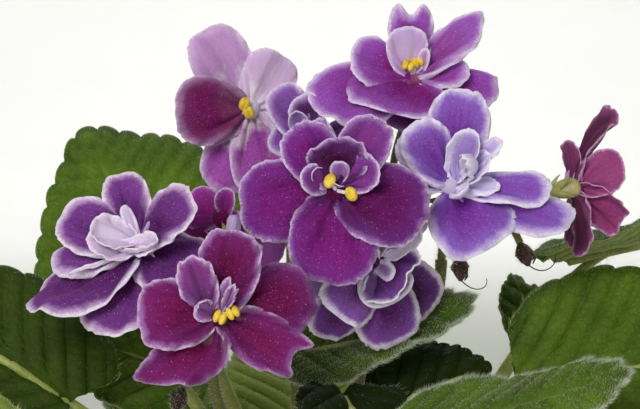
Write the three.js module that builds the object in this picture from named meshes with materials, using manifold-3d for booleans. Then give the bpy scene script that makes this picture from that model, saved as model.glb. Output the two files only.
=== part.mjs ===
// A potted African violet in flower: a rosette of hairy scalloped leaves on stalks round a short crown, and
// semi-double purple blooms with white edges on branched flower stalks, in a plain pot of potting mix.
// Millimetres and degrees, +Z up. The origin is the middle of the pot's foot, and the viewer looks along +Y.
import * as THREE from "three";
import { mergeVertices } from "three/addons/utils/BufferGeometryUtils.js";
import Module from "manifold-3d";

const wasm = await Module();
wasm.setup();
const radians = THREE.MathUtils.degToRad;
const point = (x, y, z) => new THREE.Vector3(x, y, z);

// Driving dimensions
const GAP = 0.3; // left between pieces that touch
const SIMPLER = 0.04; // how far a surface may move where slivers are merged
const POT = { height: 88, foot: 36, mouth: 48, wall: 3, lip: 3, lipHeight: 14, sides: 24 };
const DRAIN = { count: 4, radius: 3.5, from: 20 };
const SOIL = { top: 72, mound: 4 };
const CROWN = { radius: 9, bottom: 54, top: 102 };
const PETAL = { thick: 0.7, rows: [0.5, 1] };
const LEAF = { thick: 1.5, teeth: 12, rows: [0.45, 1], setback: 0.16, stalkBase: 2.4, stalkTip: 1.8 };
const TUBE = { radius: 2.8, length: 6, above: 1.6 }; // the corolla's tube, up to where its petals spread
const CALYX = { radius: 2.4, length: 2.6, sepal: 7, spread: 24 };
const SPENT = { sepal: 5.5, spread: 66 }; // a dried calyx, with its sepals folded forwards
const BUD = { long: 3, round: 2 };
const ANTHER = { long: 1.9, round: 1.4, filament: 0.8 };
const STALK = { base: 1.8, fork: 1.4, pedicel: 1 }; // radii of a flower stalk

// Colours
const COLOURS = {
  pot: 0xb9674a, soil: 0x3a2a20, crown: 0x6f7a3c, leaf: 0x46682f, stalk: 0x7f8a45, magenta: 0x8a2480,
  violet: 0x6f46a8, anther: 0xf0d420, spent: 0x4a3826,
};

// A closed solid from corner points and triangles.
function solidOf(points, triangles) {
  const geometry = new THREE.BufferGeometry().setFromPoints(points);
  geometry.setIndex(triangles);
  return solidFrom(geometry);
}

// A closed solid from a three.js geometry, turned to face outwards.
function solidFrom(geometry) {
  geometry.deleteAttribute("normal");
  geometry.deleteAttribute("uv");
  const merged = mergeVertices(geometry, 1e-4);
  const corners = Array.from(merged.index.array);
  const make = (list) => new wasm.Manifold(new wasm.Mesh({
    numProp: 3,
    vertProperties: new Float32Array(merged.attributes.position.array),
    triVerts: new Uint32Array(list),
  }));
  const solid = make(corners);
  return solid.volume() > 0 ? solid : make(corners.reverse());
}

const fuse = (solids) => solids.reduce((all, one) => all.add(one));

// The rows between two rings of a fan, which may have different numbers of columns.
function stitch(inner, outer) {
  const triangles = [];
  let i = 0;
  let j = 0;
  while (i < inner.length - 1 || j < outer.length - 1) {
    const innerNext = (i + 1) / (inner.length - 1);
    const outerNext = (j + 1) / (outer.length - 1);
    if (i < inner.length - 1 && (j === outer.length - 1 || innerNext < outerNext)) {
      triangles.push(inner[i], outer[j], inner[i + 1]);
      i += 1;
    } else {
      triangles.push(inner[i], outer[j], outer[j + 1]);
      j += 1;
    }
  }
  return triangles;
}

// A thin blade on both sides of a surface. surface(q, r) gives its points: q runs from -1 to 1 round the
// outline, and r from 0 at the root to 1 at the rim.
function blade(surface, columns, rows, thick) {
  const step = 0.02;
  const normalAt = (q, r) => {
    const across = surface(q + step, Math.max(r, 0.1)).sub(surface(q - step, Math.max(r, 0.1)));
    const along = surface(q, r + step).sub(surface(q, Math.max(r - step, 0)));
    return along.cross(across).normalize();
  };
  const upper = [surface(0, 0)];
  const normals = [normalAt(0, 0.05)];
  const rings = rows.map((r, row) => Array.from({ length: columns[row] + 1 }, (_, column) => {
    const q = (2 * column) / columns[row] - 1;
    upper.push(surface(q, r));
    normals.push(normalAt(q, r));
    return upper.length - 1;
  }));
  const sheet = [...stitch([0, 0], rings[0]).filter((_, i, all) => !isFlat(all, i))];
  rings.slice(1).forEach((ring, row) => sheet.push(...stitch(rings[row], ring)));
  const count = upper.length;
  const points = [
    ...upper.map((p, i) => p.clone().addScaledVector(normals[i], thick / 2)),
    ...upper.map((p, i) => p.clone().addScaledVector(normals[i], -thick / 2)),
  ];
  const triangles = [...sheet];
  for (let i = 0; i < sheet.length; i += 3)
    triangles.push(sheet[i] + count, sheet[i + 2] + count, sheet[i + 1] + count);
  const border = [0, ...rings.map((ring) => ring[0])];
  border.push(...rings.at(-1).slice(1), ...rings.slice(0, -1).reverse().map((ring) => ring.at(-1)));
  border.forEach((a, i) => {
    const b = border[(i + 1) % border.length];
    triangles.push(b, a, a + count, b, a + count, b + count);
  });
  return solidOf(points, triangles);
}

// True for a corner of a triangle that has its first corner twice.
function isFlat(triangles, i) {
  const first = i - (i % 3);
  const [a, b, c] = triangles.slice(first, first + 3);
  return a === b || b === c || a === c;
}

// A round bar along a curve, with its radius given by a function of the way along.
function bar(curve, radiusAt, sides, steps) {
  const frames = curve.computeFrenetFrames(steps);
  const points = [curve.getPointAt(0)];
  for (let i = 0; i <= steps; i += 1) {
    const centre = curve.getPointAt(i / steps);
    for (let k = 0; k < sides; k += 1) {
      const turn = (2 * Math.PI * k) / sides;
      const radius = radiusAt(i / steps);
      points.push(centre.clone()
        .addScaledVector(frames.normals[i], radius * Math.cos(turn))
        .addScaledVector(frames.binormals[i], radius * Math.sin(turn)));
    }
  }
  points.push(curve.getPointAt(1));
  const last = points.length - 1;
  const triangles = [];
  for (let k = 0; k < sides; k += 1) {
    const next = (k + 1) % sides;
    triangles.push(0, 1 + next, 1 + k, last, last - sides + k, last - sides + next);
    for (let i = 0; i < steps; i += 1) {
      const a = 1 + i * sides;
      triangles.push(a + k, a + next, a + sides + next, a + k, a + sides + next, a + sides + k);
    }
  }
  return solidOf(points, triangles);
}

const arc = (from, leave, arrive, to) => new THREE.CubicBezierCurve3(from, leave, arrive, to);

// A point along a spine that starts at a lift above its plane and turns evenly by curl over its length.
function spineAt(x, reach, lift, curl) {
  const start = radians(lift);
  const bend = radians(curl) || 1e-6;
  const angle = start + (bend * x) / reach;
  const radius = reach / bend;
  const out = radius * (Math.sin(angle) - Math.sin(start));
  const up = radius * (Math.cos(start) - Math.cos(angle));
  return { out, up, angle };
}

// The surface of a petal or leaf blade in its own frame: along, across and facing are its axes at the root.
function bladeSurface(shape, frame) {
  const { reach, wide, lift = 0, curl = 0, cup = 0, fold = 0, wave = 0, waves = 3 } = shape;
  const { egg = 0.2, square = 0.85, notch = 0, point: tip = 0, teeth = 0 } = shape;
  const { bend = 0, tilt = 0, setback = 0 } = shape;
  const back = setback * reach;
  const lean = radians(tilt);
  return (q, r) => {
    const turn = q * Math.PI * 0.88;
    const full = Math.sign(turn) * Math.abs(Math.sin(turn)) ** square;
    const round = full * (1 + egg * Math.cos(turn)) / (1 + 0.3 * Math.abs(egg));
    const edge = 1 + (teeth ? 0.03 * Math.cos(2 * Math.PI * teeth * (q + 1) / 2) : 0);
    const flatX = (-back + ((reach + back) / 2) * (1 + Math.cos(turn))) * edge
      - notch * Math.exp(-((turn / 0.22) ** 2)) + tip * Math.exp(-((turn / 0.3) ** 2));
    const x = flatX * r;
    const y = (wide / 2) * round * edge * r + bend * (x / reach) ** 2;
    const s = (2 * y) / wide;
    const ripple = wave * r ** 3 * Math.sin(waves * turn);
    const high = cup * s * s + fold * Math.abs(s) + ripple;
    const across = y * Math.cos(lean) - high * Math.sin(lean);
    const above = y * Math.sin(lean) + high * Math.cos(lean);
    const { out, up, angle } = spineAt(x, reach, lift, curl);
    return frame.root.clone()
      .addScaledVector(frame.along, out - above * Math.sin(angle))
      .addScaledVector(frame.facing, up + above * Math.cos(angle))
      .addScaledVector(frame.across, across);
  };
}

// The axes of a bloom: where it faces, and its own up and right, for a yaw to the right and a pitch upwards.
function bloomAxes({ yaw, pitch }) {
  const [a, b] = [yaw, pitch].map(radians);
  const facing = point(Math.sin(a) * Math.cos(b), -Math.cos(a) * Math.cos(b), Math.sin(b));
  const right = point(Math.cos(a), Math.sin(a), 0);
  return { facing, right, up: facing.clone().cross(right) };
}

// A petal's frame: turn runs clockwise from the bloom's up, as the viewer sees it.
function petalFrame(bloom, axes, petal) {
  const turn = radians(petal.turn);
  const along = axes.up.clone().multiplyScalar(Math.cos(turn)).addScaledVector(axes.right, Math.sin(turn));
  const across = axes.facing.clone().cross(along);
  const [right, up] = petal.at ?? [0, 0];
  const root = point(...bloom.throat)
    .addScaledVector(axes.right, right)
    .addScaledVector(axes.up, up)
    .addScaledVector(axes.facing, petal.layer ?? 0);
  return { root, along, across, facing: axes.facing };
}

// The columns and rows of a petal, fewer on a small one.
function petalGrid({ reach, notch, point: tip }) {
  if (reach < 9) return { columns: [5], rows: [1] };
  if (reach < 16) return { columns: [3, 5], rows: PETAL.rows };
  const columns = notch || tip ? 8 : 7;
  return { columns: [4, columns], rows: PETAL.rows };
}

// The largest body of a solid, without its loose scraps.
const larger = (a, b) => (b.volume() > a.volume() ? b : a);
const largest = (solid) => solid.decompose().reduce(larger);

// One bloom's petals and tube as one body, clear of its anthers.
function corolla(bloom) {
  const axes = bloomAxes(bloom);
  const petals = bloom.petals.map((petal) => {
    const { columns, rows } = petalGrid(petal);
    return blade(bladeSurface(petal, petalFrame(bloom, axes, petal)), columns, rows, PETAL.thick);
  });
  const along = (distance) => point(...bloom.throat).addScaledVector(axes.facing, distance);
  const tube = new THREE.LineCurve3(along(-TUBE.length), along(TUBE.above));
  const whole = fuse([bar(tube, (t) => TUBE.radius * (0.65 + 0.35 * t), 6, 1), ...petals]);
  return largest(bloom.sacs ? whole.subtract(anthers(bloom, GAP)) : whole);
}

// Two anther sacs on short filaments that meet in the throat. grow makes their room in the corolla.
function anthers(bloom, grow = 0) {
  const axes = bloomAxes(bloom);
  const place = (right, up, out) => point(...bloom.throat)
    .addScaledVector(axes.right, right).addScaledVector(axes.up, up).addScaledVector(axes.facing, out);
  const foot = place(0, 0, TUBE.above + GAP - grow);
  return fuse(bloom.sacs.flatMap(([right, up]) => {
    const centre = place(right, up, bloom.out ?? 4.2);
    const sac = new THREE.SphereGeometry(1, 6, 4).applyMatrix4(new THREE.Matrix4().makeBasis(
      axes.right.clone().multiplyScalar(ANTHER.round + grow),
      axes.up.clone().multiplyScalar(ANTHER.long + grow),
      axes.facing.clone().multiplyScalar(ANTHER.round + grow),
    )).translate(centre.x, centre.y, centre.z);
    return [solidFrom(sac), bar(new THREE.LineCurve3(foot, centre), () => ANTHER.filament + grow, 4, 1)];
  }));
}

// A calyx cup that ends at its seat, with five narrow sepals that spread forwards by an angle.
function calyx(seat, axes, sepal, spread) {
  const back = seat.clone().addScaledVector(axes.facing, -CALYX.length);
  const cup = bar(new THREE.LineCurve3(back, seat), (t) => CALYX.radius * (0.55 + 0.45 * t), 6, 1);
  const from = seat.clone().addScaledVector(axes.facing, -CALYX.length * 0.7);
  const sepals = Array.from({ length: 5 }, (_, i) => {
    const turn = radians(36 + 72 * i);
    const along = axes.up.clone().multiplyScalar(Math.cos(turn)).addScaledVector(axes.right, Math.sin(turn));
    const to = from.clone()
      .addScaledVector(along, CALYX.radius * 0.6 + sepal * Math.cos(radians(spread)))
      .addScaledVector(axes.facing, sepal * Math.sin(radians(spread)));
    return bar(new THREE.LineCurve3(from, to), (t) => 0.8 * (1 - t) + 0.35, 3, 1);
  });
  return fuse([cup, ...sepals]);
}

// Where a bloom's calyx ends, just behind its tube.
const seatOf = (bloom, axes) => point(...bloom.throat).addScaledVector(axes.facing, -TUBE.length - GAP);

// A closed bud, held a little in front of its calyx.
function budSolid(bud) {
  const axes = bloomAxes(bud);
  const middle = point(...bud.throat).addScaledVector(axes.facing, BUD.long - TUBE.length);
  return solidFrom(new THREE.SphereGeometry(1, 7, 5).applyMatrix4(new THREE.Matrix4().makeBasis(
    axes.right.multiplyScalar(BUD.round), axes.facing.clone().multiplyScalar(BUD.long),
    axes.up.multiplyScalar(-BUD.round),
  )).translate(middle.x, middle.y, middle.z));
}

// A flower stalk as one body: its peduncle from the crown to a fork, and a pedicel to each thing it carries.
function flowerStalk(stalk) {
  const from = radians(stalk.from);
  const start = point(5 * Math.cos(from), 5 * Math.sin(from), stalk.height);
  const fork = point(...stalk.fork);
  const span = start.distanceTo(fork);
  const leave = point(Math.cos(from) * stalk.spread, Math.sin(from) * stalk.spread, 1).normalize();
  const stem = arc(start, start.clone().addScaledVector(leave, span * 0.4),
    fork.clone().add(point(0, 0, -span * 0.35)), fork);
  const pieces = [bar(stem, (t) => STALK.base + (STALK.fork - STALK.base) * t, 5, 5)];
  const pedicel = (end, axes) => {
    const length = fork.distanceTo(end);
    pieces.push(bar(arc(
      fork.clone().add(point(0, 0, -1)), fork.clone().add(point(0, 0, length * 0.3)),
      end.clone().addScaledVector(axes.facing, -length * 0.4), end,
    ), () => STALK.pedicel, 4, 4));
  };
  stalk.carries.forEach((carried) => {
    const axes = bloomAxes(carried);
    const seat = seatOf(carried, axes);
    pieces.push(calyx(seat, axes, CALYX.sepal, CALYX.spread));
    pedicel(seat.clone().addScaledVector(axes.facing, -CALYX.length / 2), axes);
  });
  (stalk.spent ?? []).forEach((dried) => {
    const axes = bloomAxes(dried);
    pedicel(point(...dried.throat).addScaledVector(axes.facing, -CALYX.length - GAP), axes);
  });
  return largest(fuse(pieces).subtract(crownRoom));
}

// The crown is a short knobbly stem that stands in the soil.
function crownProfile(grow) {
  const r = CROWN.radius + grow;
  return [[0, CROWN.bottom - grow], [r * 0.6, CROWN.bottom - grow], [r * 0.9, SOIL.top], [r, CROWN.top - 15],
    [r * 0.85, CROWN.top - 5], [0, CROWN.top + grow]].map(([x, z]) => new THREE.Vector2(x, z));
}

function lathe(profile, sides) {
  return solidFrom(new THREE.LatheGeometry(profile, sides).rotateX(Math.PI / 2));
}

const crownSolid = lathe(crownProfile(0), 10);
const crownRoom = lathe(crownProfile(GAP), 10);

function potSolid() {
  const { height, foot, mouth, wall, lip, lipHeight, sides } = POT;
  const band = height - lipHeight;
  const outside = (z) => foot + ((mouth - foot) * z) / height;
  const profile = [
    [0, 0], [foot, 0], [outside(band), band], [outside(band) + lip, band], [mouth + lip, height],
    [mouth - wall + 1, height], [outside(band) - wall, band], [foot - wall, wall], [0, wall],
  ].map(([x, z]) => new THREE.Vector2(x, z));
  const shell = lathe(profile, sides);
  const drains = Array.from({ length: DRAIN.count }, (_, i) => {
    const turn = ((i + 0.5) * 2 * Math.PI) / DRAIN.count;
    const hole = new THREE.CylinderGeometry(DRAIN.radius, DRAIN.radius, 4 * wall, 10).rotateX(Math.PI / 2);
    return solidFrom(hole.translate(DRAIN.from * Math.cos(turn), DRAIN.from * Math.sin(turn), 0));
  });
  return drains.reduce((pot, hole) => pot.subtract(hole), shell);
}

function soilSolid() {
  const { height, foot, mouth, wall, lipHeight } = POT;
  const band = height - lipHeight;
  const inside = (z) => foot + ((mouth - foot) * z) / height - wall - GAP;
  const profile = [
    [0, wall + GAP], [foot - wall - GAP, wall + GAP], [inside(band), band - 2],
    [inside(SOIL.top) - 0.8, SOIL.top], [20, SOIL.top + SOIL.mound * 0.7], [0, SOIL.top + SOIL.mound],
  ].map(([x, z]) => new THREE.Vector2(x, z));
  return lathe(profile, POT.sides).subtract(crownRoom);
}

// A leaf blade's shape and frame, from where it points: heading 0 is +X and 90 is away from the viewer.
function leafFrame(leaf) {
  const [heading, rise, roll] = [leaf.heading, leaf.rise, leaf.roll ?? 0].map(radians);
  const along = point(Math.cos(heading) * Math.cos(rise), Math.sin(heading) * Math.cos(rise), Math.sin(rise));
  const level = point(-Math.sin(heading), Math.cos(heading), 0);
  const plain = along.clone().cross(level);
  const across = level.clone().multiplyScalar(Math.cos(roll)).addScaledVector(plain, Math.sin(roll));
  const facing = along.clone().cross(across);
  const shape = {
    egg: -0.22, setback: LEAF.setback, teeth: LEAF.teeth, point: 2.5, cup: 0, fold: 2, wave: 1.2, waves: 4,
    curl: -25, ...leaf, lift: 0,
  };
  return { shape, frame: { root: point(...leaf.joint), along, across, facing } };
}

// A leaf: a stalk that leaves the crown and a scalloped blade with its base lobes on both sides of the stalk.
function leafSolid(leaf) {
  const { shape, frame } = leafFrame(leaf);
  const { root, along, facing } = frame;
  const plate = blade(bladeSurface(shape, frame), [6, LEAF.teeth * 2], LEAF.rows, LEAF.thick);
  const from = radians(leaf.from);
  const start = point(4 * Math.cos(from), 4 * Math.sin(from), leaf.height);
  const span = start.distanceTo(root);
  const outward = point(Math.cos(from), Math.sin(from), leaf.climb).normalize();
  const path = arc(
    start, start.clone().addScaledVector(outward, span * 0.45),
    root.clone().addScaledVector(along, -span * (leaf.arrive ?? 0.3)).addScaledVector(facing, -1),
    root.clone().addScaledVector(along, leaf.reach * 0.3).addScaledVector(facing, -0.6),
  );
  const radiusAt = (t) => LEAF.stalkBase + (LEAF.stalkTip - LEAF.stalkBase) * Math.min(1, t * 1.3);
  const stalk = bar(path, radiusAt, 5, 6);
  return largest(fuse([stalk, plate]).subtract(crownRoom));
}

// Blooms, each with its throat's place, where it faces and its petals
const BLOOMS = {
  centre: {
    throat: [4, -47, 204.5], yaw: 0, pitch: 16, tint: "magenta", sacs: [[-1.6, 2.1], [3.6, -1.1]],
    petals: [
      { turn: 261, reach: 24.4, wide: 21.4, lift: 0, curl: -6, wave: 0.8, square: 0.8, egg: 0.15 },
      {
        turn: 183, reach: 23, wide: 22.6, lift: 8, curl: -14, wave: 0.9,
        layer: 0.6, square: 0.68, egg: 0.05,
      },
      { turn: 106, reach: 23, wide: 21, lift: 12, curl: -12, wave: 0.8, layer: 1, square: 0.65, egg: 0.05 },
      { turn: 326, reach: 19, wide: 14.5, lift: 20, curl: -10, cup: 1, layer: 1, square: 0.7 },
      { turn: 346, reach: 18.5, wide: 6.5, lift: 18, curl: -8, layer: 0.6 },
      { turn: 32, reach: 20.8, wide: 13.5, lift: 18, curl: -5, cup: 1, layer: 1, square: 0.75 },
      { turn: 1, reach: 15, wide: 15.5, lift: 26, curl: 30, cup: 2, layer: 1.2, wave: 1.1, square: 0.65 },
      { turn: 292, reach: 10.5, wide: 8, lift: 35, curl: 20, cup: 1.5, layer: 1.2, at: [-1.4, 0.7] },
      { turn: 63, reach: 12.5, wide: 10, lift: 35, curl: 10, cup: 1.5, layer: 1.2, at: [1.2, 1.3] },
      { turn: 8, reach: 8.5, wide: 5, lift: 45, curl: 20, layer: 1.2, at: [0.3, 1.2] },
    ],
  },
  frontLeft: {
    throat: [-24.5, -57, 175.5], yaw: -6, pitch: 20, tint: "magenta", sacs: [[0.8, -0.8], [3.9, 0.4]],
    petals: [
      { turn: 73, reach: 23.6, wide: 19, lift: 0, curl: -5, wave: 0.8, square: 0.7 },
      { turn: 117, reach: 24, wide: 14.5, lift: 6, curl: -15, wave: 2, waves: 4, layer: 0.6, square: 0.7 },
      { turn: 201, reach: 21, wide: 17, lift: 3, curl: -15, wave: 2, waves: 4, layer: 0.3, bend: -8 },
      { turn: 268, reach: 19.8, wide: 18.3, lift: 20, curl: -5, cup: 1, layer: 1, square: 0.75 },
      { turn: 13, reach: 21.6, wide: 16.5, lift: 24, curl: -8, cup: 1, layer: 0.9, square: 0.75 },
      { turn: 345, reach: 17, wide: 10, lift: 40, curl: 5, cup: 1.5, layer: 1.2, at: [-2.4, 0] },
      { turn: 21, reach: 10.5, wide: 3.5, lift: 38, layer: 1.2, point: 1 },
      { turn: 278, reach: 6.5, wide: 5, lift: 50, layer: 1.2, at: [-0.8, 0] },
    ],
  },
  left: {
    throat: [-45, -42, 190], yaw: -15, pitch: 52, tint: "violet",
    petals: [
      {
        turn: 241, reach: 31, wide: 25, lift: -7, curl: -3, tilt: 14,
        wave: 1.6, egg: -0.05, at: [1, -2], point: 1,
      },
      { turn: 192, reach: 25, wide: 22, lift: -11, curl: -8, wave: 1 },
      { turn: 112, reach: 17.5, wide: 22, lift: -7, curl: -6, wave: 1, square: 0.7 },
      { turn: 252, reach: 23, wide: 14, lift: 1, wave: 0.5 },
      { turn: 334, reach: 18.7, wide: 12.5, lift: 30, curl: 5, cup: 1, layer: 0.9, square: 0.75 },
      {
        turn: 271, reach: 20.8, wide: 16.5, lift: 20, curl: 5, cup: 1.5,
        tilt: -14, layer: 1, square: 0.75,
      },
      { turn: 62, reach: 18.8, wide: 17.5, lift: 30, curl: 5, cup: 1.5, layer: 1, square: 0.75 },
      { turn: 238, reach: 13.4, wide: 12, lift: 12, curl: 38, cup: 1.5, layer: 1.2, at: [0, -0.8] },
      { turn: 133, reach: 9, wide: 6, lift: 20, curl: 20, layer: 1.2, at: [0, -0.8] },
      { turn: 325, reach: 10, wide: 3.5, lift: 42, layer: 1.2 },
    ],
  },
  top: {
    throat: [24, -15, 228.5], yaw: 4, pitch: 48, tint: "magenta", sacs: [[-1.3, 1], [1, 2.2]], out: 4.6,
    petals: [
      { turn: 248, reach: 29, wide: 22, lift: 12, curl: -10, wave: 0.8, square: 0.75 },
      { turn: 202, reach: 18, wide: 30, lift: 22, curl: -6, wave: 0.8, layer: 0.4, square: 0.6 },
      { turn: 98, reach: 23, wide: 14, lift: 2, curl: -3, wave: 0.6 },
      { turn: 359, reach: 20, wide: 12.5, lift: 40, notch: 3.4, layer: 1, square: 0.75 },
      { turn: 277, reach: 17.8, wide: 16, lift: 22, cup: 1, curl: 5, tilt: -10, layer: 1, square: 0.75 },
      { turn: 58, reach: 23, wide: 11.5, lift: 30, layer: 1, point: 1.6 },
      { turn: 350, reach: 13.2, wide: 11.5, lift: 52, cup: 1.5, layer: 1.2, at: [-0.8, 0], square: 0.7 },
      { turn: 89, reach: 15, wide: 10, lift: 12, layer: 0.8 },
    ],
  },
  backLeft: {
    throat: [-19, 0, 219], yaw: 8, pitch: 8, tint: "magenta", sacs: [[-1.8, 1.4], [-0.7, -0.8]],
    petals: [
      { turn: 331, reach: 25, wide: 17, lift: 8, curl: -10, wave: 0.8, square: 0.75 },
      { turn: 30, reach: 17.2, wide: 15.5, lift: 12, curl: -5, wave: 0.8, layer: 0.5, square: 0.7 },
      { turn: 269, reach: 21, wide: 19.5, lift: 18, curl: -5, cup: 1, layer: 1, square: 0.7 },
      { turn: 202, reach: 23.6, wide: 16, lift: 4, curl: -10, wave: 0.8, square: 0.75 },
      { turn: 172, reach: 24, wide: 16, lift: 10, curl: -10, wave: 0.8, layer: 0.7, square: 0.75 },
      { turn: 110, reach: 13, wide: 11, lift: 5, layer: 0.2 },
    ],
  },
  midBack: {
    throat: [-3, -22, 212.4], yaw: -20, pitch: 40, tint: "violet",
    petals: [
      { turn: 324, reach: 16.8, wide: 11.5, lift: 35, cup: 1.5, layer: 0.9, square: 0.75 },
      { turn: 4, reach: 12.5, wide: 10.5, lift: 42, cup: 2, layer: 1, point: 1 },
      { turn: 282, reach: 11, wide: 11, lift: 10 },
      { turn: 190, reach: 14, wide: 14, lift: -5 },
      { turn: 110, reach: 14, wide: 12, lift: 0 },
    ],
  },
  right: {
    throat: [33, -37, 204], yaw: -12, pitch: 36, tint: "violet",
    petals: [
      { turn: 147, reach: 20, wide: 22, lift: 4, curl: -12, wave: 0.8, layer: 0.7, square: 0.65, egg: 0.1 },
      { turn: 111, reach: 31.5, wide: 13, lift: 0, curl: -5, wave: 0.6, bend: 4 },
      { turn: 94, reach: 25.5, wide: 10.5, lift: 10, curl: -6, wave: 1.2, layer: 1 },
      { turn: 276, reach: 14, wide: 7.5, lift: 4, layer: 0.6 },
      { turn: 318, reach: 20, wide: 13, lift: 3 },
      { turn: 8, reach: 24.4, wide: 16.5, lift: 38, layer: 0.9, square: 0.75 },
      { turn: 318, reach: 18.6, wide: 14, lift: 43, cup: 1, layer: 1, square: 0.75 },
      { turn: 12, reach: 13, wide: 9, lift: 50, curl: -30, cup: -1.5, layer: 1.2, at: [1.2, 0] },
      { turn: 70, reach: 13.5, wide: 8, lift: 30, cup: 2.5, curl: 30, layer: 1.2, at: [1.5, 0.2] },
      { turn: 58, reach: 17, wide: 6, lift: 40, cup: 1, layer: 1, at: [1.5, 0.5] },
      { turn: 97, reach: 12.5, wide: 6, lift: 14, layer: 1.2, point: 0.6 },
    ],
  },
  farRight: {
    throat: [65.5, -29, 202.5], yaw: 118, pitch: 4, tint: "magenta",
    petals: [
      { turn: 2, reach: 23.5, wide: 8.5, lift: 5, curl: 66, wave: 0.8, cup: 1 },
      { turn: 25, reach: 12.5, wide: 9, lift: 0, cup: 1.5, curl: 10 },
      { turn: 301, reach: 15.2, wide: 12, lift: 32, cup: -1, curl: -8, square: 0.75 },
      { turn: 233, reach: 16, wide: 13, lift: 30, cup: -1, curl: -8, notch: 1.2, square: 0.7 },
      { turn: 196, reach: 18, wide: 9.5, lift: -8, cup: 2 },
      { turn: 166, reach: 17, wide: 9.5, lift: 3, cup: 2 },
      { turn: 95, reach: 19, wide: 11, lift: 70, curl: 5 },
    ],
  },
  bottom: {
    throat: [13.5, -37, 185], yaw: 12, pitch: -8, tint: "violet",
    petals: [
      { turn: 135, reach: 22.5, wide: 19, lift: 0, curl: -5, square: 0.7 },
      { turn: 166, reach: 23.5, wide: 18, lift: 8, curl: -5, layer: 0.6, square: 0.7 },
      { turn: 212, reach: 24.8, wide: 15, lift: 0, curl: -5 },
      { turn: 221, reach: 17, wide: 17, lift: 18, curl: 10, layer: 0.9, square: 0.6 },
      {
        turn: 158, reach: 11.8, wide: 15, lift: 32, curl: 20, cup: 2.5,
        layer: 1.2, wave: 0.6, square: 0.7,
      },
      { turn: 48, reach: 17, wide: 5, lift: 12, layer: 0.6 },
      { turn: 118, reach: 7, wide: 5, lift: 55, layer: 1.2 },
      { turn: 300, reach: 14, wide: 13, lift: 5 },
      { turn: 0, reach: 13, wide: 13, lift: 5 },
    ],
  },
  hidden: {
    throat: [-24.5, -28, 194.5], yaw: -14, pitch: 14, tint: "magenta",
    petals: [
      { turn: 288, reach: 11, wide: 12, lift: 6, square: 0.75 },
      { turn: 18, reach: 8.6, wide: 6, lift: 30, cup: 2, layer: 1 },
      { turn: 228, reach: 14, wide: 13, lift: 0 },
      { turn: 165, reach: 12, wide: 12, lift: 0 },
      { turn: 100, reach: 5.5, wide: 5, lift: 20, layer: 0.8 },
    ],
  },
};

// Leaves, each with the joint of its blade and stalk and where the blade points
const LEAVES = {
  backLeft: {
    joint: [-42, 17, 169], heading: 137, rise: 38, roll: -40, reach: 54, wide: 78, egg: -0.32, point: 7,
    cup: -10, fold: 0, curl: -8, bend: -5, from: 168.5, height: 92.5, climb: 1.6,
  },
  farLeft: {
    joint: [-65, -34, 147], heading: 172, rise: 33, roll: -48, reach: 60, wide: 50, from: 211.5,
    height: 86, climb: 1, curl: -12,
  },
  nearLeft: {
    joint: [-75, -72, 143], heading: 188, rise: 16, roll: -38, reach: 42, wide: 40, from: 237,
    height: 85.2, climb: 0.3,
  },
  front: {
    joint: [-6, -20, 156.5], heading: 355, rise: 10, roll: 30, reach: 46, wide: 32, from: 271, height: 94.5,
    climb: 3, curl: 20, egg: -0.38, point: 4.5, arrive: 0.1,
  },
  shaded: {
    joint: [18, -27.5, 143.5], heading: 8, rise: 24, roll: 45, reach: 27, wide: 32, from: 308,
    height: 90, climb: 2.2, curl: -10, arrive: 0.1,
  },
  underFront: {
    joint: [6, -35, 149.5], heading: 288, rise: -14, roll: -4, reach: 30, wide: 31, from: 262,
    height: 84, climb: 1.8, arrive: 0.15,
  },
  nearRight: {
    joint: [21, -62, 145], heading: 354, rise: 14, roll: 12, reach: 54, wide: 46, from: 294, height: 86,
    climb: 0.8, curl: 12, arrive: 0.12,
  },
  right: {
    joint: [50, -37, 154], heading: 358, rise: 9, roll: 50, reach: 70, wide: 57, from: 345, height: 86,
    climb: 0.5, arrive: 0.1, egg: -0.1, square: 0.7, setback: 0.03,
  },
  backRight: {
    joint: [65, 1, 177], heading: 10, rise: 11, roll: -15, reach: 58, wide: 54, from: 14, height: 93,
    climb: 0.45, cup: 4, curl: -5, arrive: 0.06,
  },
  behindRight: {
    joint: [60, 15, 152], heading: 100, rise: 55, reach: 20, wide: 18, from: 46, height: 92, climb: 0.6,
    arrive: 0.12,
  },
  behindLeft: {
    joint: [-38, -12, 149], heading: 176, rise: 22, roll: -50, reach: 31, wide: 35, from: 190.5, height: 90,
    climb: 0.9, arrive: 0.15,
  },
  midLeft: {
    joint: [-34, 26, 118], heading: 136, rise: 36, reach: 48, wide: 48, from: 135, height: 88, climb: 0.5,
  },
  midBack: {
    joint: [-6, 36, 121], heading: 97, rise: 34, reach: 46, wide: 46, from: 98, height: 88, climb: 0.5,
  },
  midRight: {
    joint: [32, 33, 112], heading: 48, rise: 24, reach: 46, wide: 46, from: 71, height: 90.5,
    climb: 0.4,
  },
  lowRight: {
    joint: [56, 5, 105], heading: 12, rise: 8, reach: 54, wide: 46, from: 6, height: 80.5, climb: 0.3,
  },
  lowBack: {
    joint: [22, 50, 108], heading: 66, rise: 10, reach: 54, wide: 48, from: 60, height: 80.5,
    climb: 0.3,
  },
  lowBackLeft: {
    joint: [-26, 50, 108], heading: 120, rise: 10, reach: 54, wide: 48, from: 112, height: 80.5,
    climb: 0.3,
  },
  lowLeft: {
    joint: [-56, 8, 104], heading: 172, rise: 8, reach: 54, wide: 46, from: 168, height: 80.5,
    climb: 0.3,
  },
  lowNearLeft: {
    joint: [-42, -42, 104], heading: 228, rise: 4, reach: 52, wide: 44, from: 222, height: 80.5,
    climb: 0.3,
  },
  lowFront: {
    joint: [6, -58, 104], heading: 276, rise: 2, reach: 52, wide: 44, from: 272, height: 80.5,
    climb: 0.3,
  },
  lowNearRight: {
    joint: [48, -36, 104], heading: 324, rise: 6, reach: 52, wide: 42, from: 318, height: 80.5,
    climb: 0.3,
  },
};

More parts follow.
